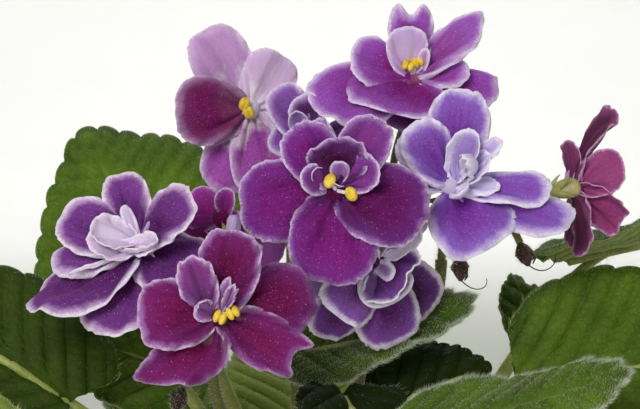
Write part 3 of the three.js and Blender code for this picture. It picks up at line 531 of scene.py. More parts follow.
def bezier(controls, steps):
    """Points evenly spaced along a cubic curve."""
    share = np.linspace(0, 1, 200)[:, None]
    a, b, c, d = [np.asarray(p, float) for p in controls]
    rest = 1 - share
    fine = rest ** 3 * a + 3 * rest ** 2 * share * b + 3 * rest * share ** 2 * c + share ** 3 * d
    walked = np.concatenate([[0], np.cumsum(np.linalg.norm(np.diff(fine, axis=0), axis=1))])
    even = np.linspace(0, walked[-1], steps + 1)
    return np.stack([np.interp(even, walked, fine[:, i]) for i in range(3)], 1)


def ripple(x, y, size, seed):
    """A gentle unevenness of about unit height over a surface, with bumps of about that size."""
    random = np.random.default_rng(seed)
    total = np.zeros(np.broadcast(x, y).shape)
    for _ in range(7):
        angle, phase = random.uniform(0, np.pi), random.uniform(0, 2 * np.pi)
        pitch = size * random.uniform(0.7, 1.6)
        total = total + np.sin((x * math.cos(angle) + y * math.sin(angle)) * 2 * np.pi / (pitch * 2) + phase)
    return total / 3.5


def bloom_axes(bloom):
    """Where a bloom's throat is, where the bloom faces, and its own right and up."""
    yaw, pitch = math.radians(bloom["yaw"]), math.radians(bloom["pitch"])
    facing = np.array([math.sin(yaw) * math.cos(pitch), -math.cos(yaw) * math.cos(pitch), math.sin(pitch)])
    right = np.array([math.cos(yaw), math.sin(yaw), 0])
    return np.array(bloom["throat"], float), facing, right, np.cross(facing, right)


def level_way(degrees):
    """A direction across the floor, anticlockwise from +X, as its x and y."""
    return math.cos(math.radians(degrees)), math.sin(math.radians(degrees))


def outline(shape, q, r):
    """A blade's flat place along and across it, in millimetres: q runs round the outline and r out to the rim."""
    reach, wide = shape["reach"], shape["wide"]
    egg, back = shape.get("egg", 0.2), shape.get("setback", 0) * reach
    turn = q * np.pi * CUTOUT
    full = np.sign(turn) * np.abs(np.sin(turn)) ** shape.get("square", 0.85)
    broad = full * (1 + egg * np.cos(turn)) / (1 + 0.3 * abs(egg))
    arches = np.abs(np.sin(np.pi * LEAF["scallops"] * (q + 1) / 2)) ** 0.6
    edge = 1 + shape.get("scallop", 0) * (1.6 * arches - 1)
    seed = shape.get("seed", 0)
    edge = edge + shape.get("ragged", 0) * (
        np.sin(5 * turn + seed) + 0.7 * np.sin(9 * turn + 2 * seed) + 0.5 * np.sin(17 * turn + 3 * seed))
    edge = edge + shape.get("teeth", 0) * (
        np.sin(23 * turn + seed) + np.sin(37 * turn + 2 * seed)) * (0.55 + 0.45 * np.sin(3 * turn + seed))
    for middle, amount, width in shape.get("lobes", []):
        edge = edge + amount / reach * np.exp(-((turn - middle) / width) ** 2)
    x = (-back + (reach + back) / 2 * (1 + np.cos(turn))) * edge
    x = x - shape.get("notch", 0) * np.exp(-(turn / 0.22) ** 2) + shape.get("point", 0) * np.exp(-(turn / 0.3) ** 2)
    return x * r, wide / 2 * broad * edge * r, turn


def blade(shape, place, q, r, relief=None):
    """Points of a petal's or leaf's surface. place is its root, along, across and facing directions."""
    root, along, across_way, facing = place
    reach, wide = shape["reach"], shape["wide"]
    x, y, turn = outline(shape, q, r)
    y = y + shape.get("bend", 0) * (x / reach) ** 2
    s = 2 * y / wide
    high = shape.get("cup", 0) * s * s + shape.get("fold", 0) * np.abs(s)
    high = high + shape.get("wave", 0) * r ** 3 * np.sin(shape.get("waves", 3) * turn)
    if relief:
        high = high + relief(x, y, turn)
    lean = math.radians(shape.get("tilt", 0))
    across = y * math.cos(lean) - high * math.sin(lean)
    above = y * math.sin(lean) + high * math.cos(lean)
    start, curl = math.radians(shape.get("lift", 0)), math.radians(shape.get("curl", 0)) or 1e-6
    angle = start + curl * x / reach
    radius = reach / curl
    out, up = radius * (np.sin(angle) - math.sin(start)), radius * (math.cos(start) - np.cos(angle))
    return (root + (out - above * np.sin(angle))[..., None] * along
            + (up + above * np.cos(angle))[..., None] * facing + across[..., None] * across_way)


def rim_distance(shape, x, y):
    """How far each flat point is from the blade's rim, in millimetres."""
    rim_x, rim_y, _ = outline(shape, np.linspace(-1, 1, 220), 1.0)
    gap = (x.ravel()[:, None] - rim_x) ** 2 + (y.ravel()[:, None] - rim_y) ** 2
    return np.sqrt(gap.min(1)).reshape(x.shape)


def blade_grid(columns, rows, inner, power):
    """The q and r of a blade's grid of points: r starts at inner, and a power under 1 packs rows at the rim."""
    return np.linspace(-1, 1, columns + 1)[None, :], np.linspace(inner, 1, rows + 1)[:, None] ** power


def petal(shape, bloom, look, spec, number):
    """Adds one petal to a bloom: a thin velvety shell with a slightly uneven surface and margin."""
    throat, facing, right, up = bloom_axes(bloom)
    turn = math.radians(spec["turn"])
    along = up * math.cos(turn) + right * math.sin(turn)
    at = spec.get("at", [0, 0])
    root = throat + right * at[0] + up * at[1] + facing * spec.get("layer", 0)
    seed = number * 7 + int(throat[0] * 3) % 50
    small = spec["reach"] < SMALL_PETAL
    share = min(spec["reach"], FULL_PETAL) / FULL_PETAL
    size = share * (0.6 if small else 1)
    spec = dict(spec, seed=seed, ragged=0.002 if small else look["ragged"], teeth=0.004 if small else look["teeth"])
    q, r = blade_grid(*((40, 10) if small else (96, 14)), 0.04, 0.85)
    edge = r * np.ones_like(q)

    def relief(x, y, turn):
        ruffle = np.sin(9 * turn + seed) + 0.6 * np.sin(14 * turn + 2 * seed)
        pleats = 0.6 * size * np.sin(5 * turn + seed) * edge * (1 - edge) * 4
        veins = 0.1 * np.cos(y * 2 * np.pi / 1.9) * (1 - edge)
        swell = 0.65 * size * edge * ripple(x, y, 5.5, seed)
        crinkle = spec.get("crinkle", 0) * edge * ripple(x, y, 1.5, seed + 1)
        rolled = (spec.get("roll", 0.9) * share + 0.1) * smooth(0.78, 1.06, edge) ** 1.5
        midrib = 0.5 * np.exp(-(y / 1.1) ** 2) * (1 - edge)
        return look["ruffle"] * size * edge ** 5 * ruffle + swell + pleats + veins + crinkle - rolled - midrib

    points = blade(spec, (root, along, np.cross(facing, along), facing), q, r, relief)
    x, y, turns = outline(spec, q, r)
    rim = rim_distance(spec, x, y)
    both, faces, _ = shell(points, PETAL["rim"] + (PETAL["thick"] - PETAL["rim"]) * smooth(0, 2.5, rim))
    bare = look["bare"].get(number, 0)
    border = look["borders"].get(number, 1) * (1 - abs(bare) * smooth(0.5, 1.2, np.sign(bare) * turns * edge))
    tone = look["tones"].get(number, look["frill"] if number >= FIRST_FRILL else 0)
    shape.add(both, faces, rim_mm=doubled(rim), way=doubled(x / spec["reach"]), side=np.repeat([1.0, 0.0], x.size),
              tone=tone, across_mm=doubled(y), border=doubled(border))


def corolla(bloom, look, frills):
    """One bloom's petals on its tube."""
    shape = Shape()
    for number, spec in [*enumerate(bloom["petals"]), *enumerate(frills, FIRST_FRILL)]:
        petal(shape, bloom, look, spec, number)
    throat, facing, _, _ = bloom_axes(bloom)
    steps = np.linspace(-TUBE["length"], TUBE["above"], 9)
    path = throat + steps[:, None] * facing
    radii = TUBE["radius"] * (0.65 + 0.35 * (steps + TUBE["length"]) / (TUBE["length"] + TUBE["above"]))
    for finish, part in ((1, slice(0, 7)), (0, slice(6, 9))):
        points, faces, _ = tube(path[part], radii[part], 18)
        shape.add(points, faces, finish, rim_mm=9, way=0.02, side=0.7, tone=look["tube"], across_mm=0, border=0)
    return shape


def anther_pair(bloom):
    """Two pollen sacs, each with the groove between its halves, on filaments that meet in the throat."""
    throat, facing, right, up = bloom_axes(bloom)
    shape = Shape()
    ball, faces = lathe([(math.sin(turn), math.cos(turn)) for turn in np.linspace(0, np.pi, 15)], 20)
    # The profile runs down, so the faces turn round. The sac's axes are left-handed, which leaves them facing in
    faces = [face[:1] + face[:0:-1] for face in faces]
    groove = 0.42 * np.exp(-(ball[:, 0] / 0.22) ** 2) * (ball[:, 1] > -0.2)
    ball[:, 1] *= 0.95 * (1 - groove)
    for number, (over, high) in enumerate(bloom["sacs"]):
        centre = throat + right * over + up * high + facing * bloom.get("out", 4.2)
        tilt = math.radians(-28 if number else 24)
        long_way, wide_way = up * math.cos(tilt) + right * math.sin(tilt), right * math.cos(tilt) - up * math.sin(tilt)
        for half in bloom.get("halves", [0]):
            wide, long = ANTHER["round"] * (0.62 if half else 1.05), ANTHER["long"] * (1 - 0.3 * abs(half))
            axes = np.stack([wide_way * wide, facing * ANTHER["round"], long_way * long])
            shape.add(centre + wide_way * half * ANTHER["round"] + ball @ axes, faces)
        foot = throat + facing * (TUBE["above"] + 0.3)
        knee = (foot + centre) / 2 + facing * 0.6
        points, sides, _ = tube(bezier([foot, knee, knee, centre - facing * 0.8], 8), ANTHER["filament"], 8)
        shape.add(points, sides, 1)
    return shape


def sepal_blades(shape, seat, facing, right, up, length, spread, crumple=0.0, finish=0):
    """Adds the cup of a calyx and its five narrow pointed sepals."""
    steps = np.linspace(0, 1, 8)
    path = seat - facing * CALYX["length"] + steps[:, None] * facing * CALYX["length"]
    shape.bar(path, CALYX["radius"] * np.sqrt(0.12 + 0.88 * steps), 16, 1, 0.7, finish)
    lean = math.radians(spread)
    q, r = blade_grid(18, 7, 0.06, 1)
    for number in range(5):
        turn = math.radians(36 + 72 * number)
        outward = up * math.cos(turn) + right * math.sin(turn)
        along = outward * math.cos(lean) + facing * math.sin(lean)
        inward = facing * math.cos(lean) - outward * math.sin(lean)
        root = seat - facing * CALYX["length"] * 0.6 + outward * CALYX["radius"] * 0.45
        spec = {"reach": length, "wide": 2.3, "egg": -0.35, "point": 0.7, "cup": 0.35, "fold": 0.2, "square": 1,
                "curl": 70 + 22 * number if crumple else 18, "setback": 0.05}
        points = blade(spec, (root, along, np.cross(inward, along), inward), q, r,
                       lambda x, y, turn: crumple * ripple(x, y, 1.4, number))
        x, y, _ = outline(spec, q, r)
        both, faces, normals = shell(points, 0.25 + 0.35 * smooth(0, 1, rim_distance(spec, x, y)))
        shape.add(both, faces, finish, hairs=0.8, hair_size=0.7, hair_way=np.concatenate([normals, -normals]))


def flower_stalk(stalk):
    """A flower stalk from the crown to its fork, with a pedicel and a calyx for each bloom that it carries."""
    shape = Shape()
    x, y = level_way(stalk["leaves_at"])
    start = np.array([5 * x, 5 * y, STALK["height"]])
    fork = np.array(stalk["fork"], float)
    span = np.linalg.norm(fork - start)
    leave = unit(np.array([x * stalk["spread"], y * stalk["spread"], 1]))
    rise = np.array([0, 0, 1])
    path = bezier([start, start + leave * span * 0.4, fork - rise * span * 0.35, fork], 26)
    radii = np.linspace(STALK["base"], STALK["fork"], 27)
    radii[-2:] *= [1.12, 1.2]
    shape.bar(path, radii, 14, 1, 1)

    def pedicel(end, facing):
        length = np.linalg.norm(fork - end)
        path = bezier([fork - rise, fork + rise * length * 0.3, end - facing * length * 0.4, end], 18)
        shape.bar(path, np.linspace(STALK["pedicel"] * 1.1, STALK["pedicel"] * 0.95, 19), 10, 1, 1)

    for carried in stalk["carries"]:
        throat, facing, right, up = bloom_axes(BUDS["left"] if carried == "bud" else BLOOMS[carried])
        seat = throat - facing * (TUBE["length"] + CALYX["seat_gap"])
        shorter, wider = (0.72, 22) if carried == "farRight" else (1, 0)
        sepal_blades(shape, seat, facing, right, up, CALYX["sepal"] * shorter, CALYX["spread"] + wider, finish=1)
        pedicel(seat - facing * CALYX["length"] / 2, facing)
    for carried in stalk.get("spent", []):
        throat, facing, _, _ = bloom_axes(DRIED[carried])
        pedicel(throat - facing * (CALYX["length"] + CALYX["seat_gap"]), facing)
    return shape


def leaf_parts(spec):
    """A leaf's shape values and the root, along, across and facing directions of its blade."""
    rise, roll = [math.radians(spec.get(word, 0)) for word in ("rise", "roll")]
    x, y = level_way(spec["heading"])
    along = np.array([x * math.cos(rise), y * math.cos(rise), math.sin(rise)])
    level = np.array([-y, x, 0])
    across = level * math.cos(roll) + np.cross(along, level) * math.sin(roll)
    usual = {"egg": -0.22, "setback": LEAF["setback"], "point": 2.5, "cup": 0, "fold": 2, "wave": 1.2, "waves": 4,
             "curl": -25, "scallop": 0.022, "arrive": 0.3}
    return {**usual, **spec}, (np.array(spec["joint"], float), along, across, np.cross(along, across))


def quilting(x, y, rim, reach):
    """The raised cells of a leaf between its veins, and how near each point is to a vein."""
    away = np.abs(y)
    stripe = (x - VEIN["slant"] * away + 0.006 * away ** 2) / VEIN["spacing"]
    rung = (away * 1.25 + 0.35 * x + 1.2 * np.floor(stripe)) / VEIN["cross"]
    pillow = np.abs(np.sin(np.pi * stripe)) ** 0.55 * (0.72 + 0.28 * np.abs(np.sin(np.pi * rung)) ** 0.6)
    spine = np.exp(-(y / VEIN["midrib"]) ** 2) * smooth(1.02, 0.7, x / reach)
    taper = smooth(0, 4, rim)
    high = VEIN["bulge"] * pillow * taper * (1 - spine) - 0.6 * spine * taper
    vein = np.maximum(np.exp(-(np.sin(np.pi * stripe) / 0.17) ** 2) * 0.75, spine) * smooth(0.3, 2.5, rim)
    return high, vein


def leaf(name):
    """A leaf: its stalk, and a quilted blade with a scalloped margin and its base lobes beside the stalk."""
    spec, place = leaf_parts(LEAVES[name])
    root, along, _, facing = place
    shape = Shape()
    across_each, rows = (5, 18) if name.startswith("low") else (7, 30)
    q, r = blade_grid(LEAF["scallops"] * across_each, rows, 0.03, 0.9)
    x, y, _ = outline(spec, q, r)
    rim = rim_distance(spec, x, y)
    seed = int(abs(root[0] * 5 + root[1] * 3)) % 97
    quilt, vein = quilting(x, y, rim, spec["reach"])
    uneven = 0.9 * ripple(x, y, 17, seed) * smooth(0, 14, np.hypot(x, y))
    edge_lift = 0.5 * np.sin(11 * q * np.pi + seed) * np.exp(-rim / 3)
    points = blade(spec, place, q, r, lambda *_: quilt + uneven + edge_lift)
    both, faces, normals = shell(points, LEAF["rim"] + (LEAF["thick"] - LEAF["rim"]) * smooth(0, 4, rim))
    # Hairs are longest and densest on the margin, where they stand outward
    margin = np.exp(-rim.ravel() / 0.9)
    near = margin[:, None]
    outward = unit(np.gradient(points, axis=0) + 1e-9).reshape(-1, 3) * near * 0.9
    ways = [unit(side * (1 - near) + outward + side * 0.15) for side in (normals, -normals)]
    shape.add(both, faces, rim_mm=doubled(rim), side=np.repeat([1.0, 0.0], x.size), vein=doubled(vein),
              high_mm=doubled(quilt), shade=LEAF_SHADES.get(name, 0.2), hair_way=np.concatenate(ways),
              hairs=np.concatenate([0.6 + 7.5 * margin, 0.2 + 2 * margin]),
              hair_size=np.concatenate([0.4 + 1.1 * margin, 0.45 + 0.7 * margin]))

    x, y = level_way(spec["leaves_at"])
    start = np.array([4 * x, 4 * y, spec["height"]])
    span = np.linalg.norm(root - start)
    leave = unit(np.array([x, y, spec["climb"]]))
    end = root + along * spec["reach"] * 0.3 - facing * 0.6
    path = bezier([start, start + leave * span * 0.45, root - along * span * spec["arrive"] - facing, end], 40)
    share = np.linspace(0, 1, 41)
    radii = LEAF["stalk_base"] + (LEAF["stalk_tip"] - LEAF["stalk_base"]) * np.minimum(1, share * 1.3)
    shape.bar(path, radii * (1 - 0.35 * smooth(0.8, 1, share)), 14, 0.9, 1.25, 1)

    steps = np.linspace(0.05, 0.93, 30)
    rib = blade(spec, place, np.zeros_like(steps), steps) - facing * 0.75
    shape.bar(rib, 1.25 * (1 - steps) ** 0.6 + 0.15, 10, 0.7, 0.9, 1)
    return shape


def closed_bud(bud):
    """A closed bud: five folded petals wrapped round each other."""
    throat, facing, right, up = bloom_axes(bud)
    long, fold = BUD["long"], 0.5  # fold: how far the folds turn in a millimetre of height
    profile = [(0, -long)] + [(BUD["round"] * math.sin(t) ** 0.8, -long * math.cos(t))
                              for t in np.linspace(0, np.pi, 20)[1:-1]] + [(0, long)]

    def wrap(rings):
        swirl = np.arctan2(rings[..., 1], rings[..., 0]) * 2.5 + rings[..., 2] * fold
        size = 1 - 0.13 * np.abs(np.sin(swirl)) ** 3
        return rings * np.stack([size, size, np.ones_like(size)], -1)

    # Right, down and facing are left-handed axes, which leaves these faces pointing in
    ball, faces = lathe(profile, 30, wrap)
    seams = np.abs(np.sin(np.arctan2(ball[:, 1], ball[:, 0]) * 2.5 + ball[:, 2] * fold))
    shape = Shape()
    shape.add(throat + facing * (long - TUBE["length"]) + ball @ np.stack([right, -up, facing]), faces,
              rim_mm=2.5 - 2.4 * seams ** 6, way=0.6, side=1, tone=0.35, across_mm=0, border=1)
    return shape


def dried_calyx(name):
    """A dried calyx with shrivelled sepals and the curled thread of an old style."""
    throat, facing, right, up = bloom_axes(DRIED[name])
    shape = Shape()
    sepal_blades(shape, throat, facing, right, up, SPENT["sepal"] * 0.9, SPENT["spread"] - 20, crumple=0.45)
    core = bezier([throat + facing * out for out in (-1, 1, 2.4, 3.4)], 6)
    shape.bar(core, [1.5, 1.9, 2, 1.8, 1.5, 1, 0.5], 12, 0.5, 0.6)
    side = right * (-3 if name == "left" else 3)
    thread = bezier([throat + facing * 3, throat + facing * 7 + side, throat + facing * 6 + side * 2.2 + up * 3,
                     throat + facing * 3 + side * 1.8 + up * 5], 22)
    shape.bar(thread, np.linspace(0.2, 0.1, 23), 6, 0, 0.2)
    return shape


def add(tree, kind, inputs=(), **settings):
    """Adds a node with its settings, and links or sets its inputs, given in order or by name or number."""
    made = tree.nodes.new(kind)
    for name, value in settings.items():
        setattr(made, name, value)
    for socket, value in inputs.items() if isinstance(inputs, dict) else enumerate(inputs):
        source = value.outputs[0] if isinstance(value, bpy.types.Node) else value
        if isinstance(source, bpy.types.NodeSocket):
            tree.links.new(source, made.inputs[socket])
        else:
            made.inputs[socket].default_value = source
    return made


def surface(name, **sockets):
    """A new material, its tree, its shader with these values set on it, and its Object coordinates."""
    material = bpy.data.materials.new(name)
    material.use_nodes = True
    tree = material.node_tree
    shader = tree.nodes["Principled BSDF"]
    for socket, value in sockets.items():
        shader.inputs[socket.replace("_", " ")].default_value = value
    return material, tree, shader, tree.nodes.new("ShaderNodeTexCoord").outputs["Object"]


def per_mm(size):
    """The scale of a pattern whose features are about that many millimetres across."""
    return 1 / (size * MM)


def coat(tree, shader, body, layers, height, strength, depth):
    """Lays colours over a material's first one, each as far as its mask says, and gives the surface its relief."""
    for mask, tint in layers:
        body = add(tree, "ShaderNodeMixRGB", (mask, body, linear(tint) if isinstance(tint, str) else tint))
    tree.links.new(body.outputs[0], shader.inputs["Base Color"])
    bump = add(tree, "ShaderNodeBump", {"Strength": strength, "Distance": depth * MM, "Height": height})
    tree.links.new(bump.outputs[0], shader.inputs["Normal"])


def petal_velvet(name, look):
    """African violet petal: soft tissue covered in round papillae, which give a deep velvety colour with pale
    glints and a lit-up fringe at glancing angles. The margin fades raggedly to white."""
    material, tree, shader, here = surface(
        name, Roughness=0.7, Sheen_Weight=0.06, Sheen_Roughness=0.5, Sheen_Tint=linear("#E9D3F2"),
        Specular_IOR_Level=0.1, IOR=1.4, Subsurface_Weight=0.12, Subsurface_Scale=0.6 * MM)
    rim, way, side, tone, across, border = [
        add(tree, "ShaderNodeAttribute", attribute_name=word).outputs["Fac"]
        for word in ("rim_mm", "way", "side", "tone", "across_mm", "border")]
    grain, cloud, glints = [
        add(tree, "ShaderNodeTexNoise", {"Vector": here, "Scale": per_mm(size), "Detail": detail, "Roughness": rough})
        for size, detail, rough in ((0.6, 3, 0.7), (5.5, 2, 0.5), (0.2, 1, 0.5))]
    sparkle = add(tree, "ShaderNodeTexVoronoi", {"Vector": here, "Scale": per_mm(0.8)})
    # Dark throat, with an eye round it on some blooms, and fine streaks along the petal
    blot = add(tree, "ShaderNodeMath", (cloud, 1.1, -0.55), operation="MULTIPLY_ADD")
    depth = add(tree, "ShaderNodeMath", (way, blot), operation="ADD")
    spread = add(tree, "ShaderNodeMapRange", (depth, look["throat"], look["throat"] + 0.75),
                 interpolation_type="SMOOTHSTEP")
    streak = add(tree, "ShaderNodeMath", (across, 2 * math.pi / 1.7), operation="MULTIPLY")
    wavy = add(tree, "ShaderNodeMath", (cloud, 9, streak), operation="MULTIPLY_ADD")
    lines = add(tree, "ShaderNodeMath", (wavy,), operation="SINE")
    # Petals lighter or darker than the rest, and the colour towards the rim
    lighter = add(tree, "ShaderNodeMath", (tone, 0), operation="MAXIMUM")
    darker = add(tree, "ShaderNodeMath", (tone, -1), operation="MULTIPLY")
    darker = add(tree, "ShaderNodeMath", (darker, 0), operation="MAXIMUM")
    outward = add(tree, "ShaderNodeMath", (cloud, 5, rim), operation="MULTIPLY_ADD")
    # The ragged white margin: a soft band, and a line on the rim itself
    wide = look["band_mm"]
    uneven = add(tree, "ShaderNodeMath", (cloud, wide * 2.2, rim), operation="MULTIPLY_ADD")
    uneven = add(tree, "ShaderNodeMath", (grain, 1.1, uneven), operation="MULTIPLY_ADD")
    thin = add(tree, "ShaderNodeMath", (grain, 1.6, rim), operation="MULTIPLY_ADD")
    band, line = [
        add(tree, "ShaderNodeMath", (add(tree, "ShaderNodeMapRange", row, interpolation_type="SMOOTHSTEP"), border),
            operation="MULTIPLY")
        for row in ((uneven, wide * 1.2 + 0.55, wide * 3 + 0.55, look["band"], 0),
                    (thin, 0.75, 0.85 + look["line_mm"] * 2.2, look["line"], 0))]
    # Sparkle: painted highlights, specks of uneven size where the light catches a papilla or a pollen grain
    ground = add(tree, "ShaderNodeMath", (grain, 0.35, -0.09), operation="MULTIPLY_ADD")
    near = add(tree, "ShaderNodeMath", (ground, sparkle.outputs["Distance"]), operation="SUBTRACT")
    halo, veins, mottle, glow, back, glint, dot = [add(tree, "ShaderNodeMapRange", row) for row in (
        (depth, look["halo"] - 0.3, look["halo"], 0.85, 0), (lines, 0.2, 1, 0, 0.2), (grain, 0.44, 0.66, 0, 0.4),
        (outward, 2.6, 8.6, look["glow"], 0), (side, 0.55, 0.45, 0, look["reverse"]),
        (glints, 0.63, 0.78, 0, look["glint"]), (near, -0.04, 0.04, 0, look["sparkle"]))]
    body = add(tree, "ShaderNodeMixRGB", (spread, linear(look["deep"]), linear(look["mid"])))
    layers = [(halo, "eye"), (veins, "deep"), (mottle, "dark"), (lighter, "pale"), (darker, "dark"), (glow, "outer"),
              (back, "pale"), (band, "haze"), (line, "edge"), (glint, "haze"), (dot, "edge")]
    height = add(tree, "ShaderNodeMath", (lines, 0.18, grain), operation="MULTIPLY_ADD")
    coat(tree, shader, body, [(mask, look[word]) for mask, word in layers], height, 0.5, 0.16)
    return material


def leaf_blade(plant):
    """African violet leaf blade: thick matt tissue with a fur that greys it, paler veins and a pale green reverse,
    with painted light on the raised cells between the veins and painted shade on leaves in shadow.
    """
    material, tree, shader, here = surface(
        "leaf_blade", Roughness=0.6, Sheen_Weight=0.05, Sheen_Roughness=0.4, Sheen_Tint=linear("#DCE6CC"),
        Specular_IOR_Level=0.12, IOR=1.42)
    rim, side, vein, high, shade = [add(tree, "ShaderNodeAttribute", attribute_name=word).outputs["Fac"]
                                    for word in ("rim_mm", "side", "vein", "high_mm", "shade")]
    cloud, grain = [
        add(tree, "ShaderNodeTexNoise", {"Vector": here, "Scale": per_mm(size), "Detail": 3, "Roughness": rough})
        for size, rough in ((14, 0.5), (0.9, 0.65))]
    net = add(tree, "ShaderNodeTexVoronoi", {"Vector": here, "Scale": per_mm(1.9)}, feature="DISTANCE_TO_EDGE")
    cells = net.outputs["Distance"]
    ribs = add(tree, "ShaderNodeMath", (vein, 0.7), operation="MULTIPLY")
    tint, rise, mesh, speck, band, lit, under = [add(tree, "ShaderNodeMapRange", row) for row in (
        (cloud, 0.35, 0.68), (high, 0.5, 1.5, 0, 0.4), (cells, 0, 0.16, 0.3, 0), (grain, 0.58, 0.78, 0, 0.15),
        (rim, 0.1, 0.8, 0.45, 0), (shade, 0, -1), (side, 0.55, 0.45, 0, 0.85))]
    body = add(tree, "ShaderNodeMixRGB", (tint, tuple(plant.leaf_dark), tuple(plant.leaf_light)))
    below = add(tree, "ShaderNodeMixRGB", (vein, linear("#8A9C52"), linear("#BBC58E")))
    height = add(tree, "ShaderNodeMath", (cells, 0.8, grain), operation="MULTIPLY_ADD")
    # Painted light: rise lightens the raised cells between the veins as if lit from above, and lit pales the leaves
    # that the light comes through. Painted shade: shade darkens the leaves that lie in shadow
    coat(tree, shader, body, [
        (rise, "#708C34"), (mesh, "#2F4714"), (ribs, "#759238"), (speck, "#98AD70"), (band, "#A8B56E"),
        (shade, "#142204"), (lit, "#A9B455"), (under, below)], height, 0.6, 0.3)
    return material


# Plain tissues and soils: two tones in soft patches, the colour of small specks, the size of the patches in
# millimetres, roughness, and the size of the grain in millimetres
TISSUES = {
    # Juicy leaf stalk: pale green and faintly shiny between its hairs
    "leaf_stalk": ("#818C38", "#A9AF5C", "#C8CB98", 9, 0.5, 0.6),
    # Flower stalk: darker and browner, so that the stalks stay behind the blooms
    "flower_stalk": ("#555A22", "#77773A", "#A0A36A", 10, 0.5, 0.6),
    # Calyx: yellowish green cup and sepals
    "calyx": ("#7F8238", "#A5A457", "#CFCD96", 3, 0.55, 0.6),
    # Dried calyx: dull brown papery tissue
    "dried_calyx": ("#241610", "#4B3322", "#7D6248", 2.5, 0.85, 0.6),
    # Pollen sac: bright yellow with a mealy skin
    "pollen_sac": ("#E2B40E", "#FBE04A", "#FFF0A0", 1.5, 0.6, 0.35),
    # Filament: pale and waxy
    "white_thread": ("#E9DCEB", "#F6EFF4", "#D8C4DE", 2, 0.5, 0.6),
    # Back of the corolla tube: pale yellow-green
    "flower_tube": ("#A5A458", "#CDC79A", "#E6DCD2", 4, 0.6, 0.6),
    # Peat of the potting mix: dark, dry and fibrous
    "peat_mix": ("#2A1C13", "#4A3425", "#7A5F47", 4, 0.95, 1.0),
    # Bark crumbs: brown chips that stand out on the peat
    "bark_crumbs": ("#3A261A", "#6B4A32", "#94765A", 3, 0.9, 0.8),
    # Perlite: white puffed grains
    "perlite_grains": ("#D9D4CA", "#F2EFE8", "#B5AC9E", 2, 0.9, 0.5),
    # Rind of the crown: green going woody
    "crown_rind": ("#5F6B35", "#7F7748", "#4A3A26", 5, 0.8, 0.9),
}


def plain_tissue(name):
    """Juicy, dry or crumbly tissue: two tones in soft patches with small specks and a fine uneven skin."""
    low, high, specks, size, rough, grain_mm = TISSUES[name]
    material, tree, shader, here = surface(name, Roughness=rough, Sheen_Weight=0.15, Specular_IOR_Level=0.4)
    cloud, grain = [add(tree, "ShaderNodeTexNoise", {"Vector": here, "Scale": per_mm(mm), "Detail": 3})
                    for mm in (size, grain_mm)]
    tint, dots = [add(tree, "ShaderNodeMapRange", row) for row in ((cloud, 0.35, 0.65), (grain, 0.55, 0.7, 0, 0.45))]
    body = add(tree, "ShaderNodeMixRGB", (tint, linear(low), linear(high)))
    coat(tree, shader, body, [(dots, specks)], grain, 0.4, 0.2)
    return material


def fired_clay(plant):
    """Unglazed fired clay: dry matt terracotta with fine sand, faint turning lines and pale salt bloom low down."""
    material, tree, shader, here = surface("fired_clay", Roughness=0.86, Specular_IOR_Level=0.3)
    cloud, sand, salt = [
        add(tree, "ShaderNodeTexNoise", {"Vector": here, "Scale": per_mm(size), "Detail": detail, "Roughness": rough})
        for size, detail, rough in ((24, 4, 0.6), (0.7, 3, 0.5), (9, 5, 0.7))]
    up = add(tree, "ShaderNodeSeparateXYZ", (here,)).outputs["Z"]
    tint, low, white, specks = [add(tree, "ShaderNodeMapRange", row) for row in (
        (cloud, 0.35, 0.68), (up, 0, 0.045, 0.5, 0.2), (salt, 0.5, 0.72), (sand, 0.58, 0.72, 0, 0.35))]
    white = add(tree, "ShaderNodeMath", (white, low), operation="MULTIPLY")
    rings = add(tree, "ShaderNodeMath", (up, 2 * math.pi * per_mm(1.3)), operation="MULTIPLY")
    turned = add(tree, "ShaderNodeMath", (rings,), operation="SINE")
    height = add(tree, "ShaderNodeMath", (turned, 0.1, sand), operation="MULTIPLY_ADD")
    body = add(tree, "ShaderNodeMixRGB", (tint, tuple(plant.clay), linear("#C98563")))
    coat(tree, shader, body, [(white, "#E2C6B0"), (specks, "#8C4A33")], height, 0.5, 0.25)
    return material


def studio_paper():
    """Seamless background paper: matt white, with painted shadow in a greyer strip across the floor behind the pot. It
    can't be seen from behind, so that it never hides the plant."""
    material, tree, shader, here = surface("studio_paper", Roughness=0.95, Specular_IOR_Level=0.1)
    fibre = add(tree, "ShaderNodeTexNoise", {"Vector": here, "Scale": per_mm(60), "Detail": 2})
    deep = add(tree, "ShaderNodeSeparateXYZ", (here,)).outputs["Y"]
    start, stop = [add(tree, "ShaderNodeMapRange", row, interpolation_type="SMOOTHSTEP")
                   for row in ((deep, 0.25, 0.5), (deep, 0.55, 0.95, 0.9, 0))]
    strip = add(tree, "ShaderNodeMath", (start, stop), operation="MULTIPLY")
    body = add(tree, "ShaderNodeMixRGB", (fibre, linear("#F1F1EE"), linear("#F6F6F3")))
    # Painted shadow: the strip across the floor is greyed
    body = add(tree, "ShaderNodeMixRGB", (strip, body, linear("#B8BBB0")))
    tree.links.new(body.outputs[0], shader.inputs["Base Color"])
    clear = add(tree, "ShaderNodeBsdfTransparent")
    behind = add(tree, "ShaderNodeNewGeometry").outputs["Backfacing"]
    seen = add(tree, "ShaderNodeMixShader", (behind, shader, clear))
    tree.links.new(seen.outputs[0], tree.nodes["Material Output"].inputs["Surface"])
    return material


def plant_hair(plant):
    """Leaf hair: a clear fine thread, which shows as a pale glint."""
    return surface("plant_hair", Roughness=0.4, Specular_IOR_Level=0.5, Base_Color=tuple(plant.hair))[0]


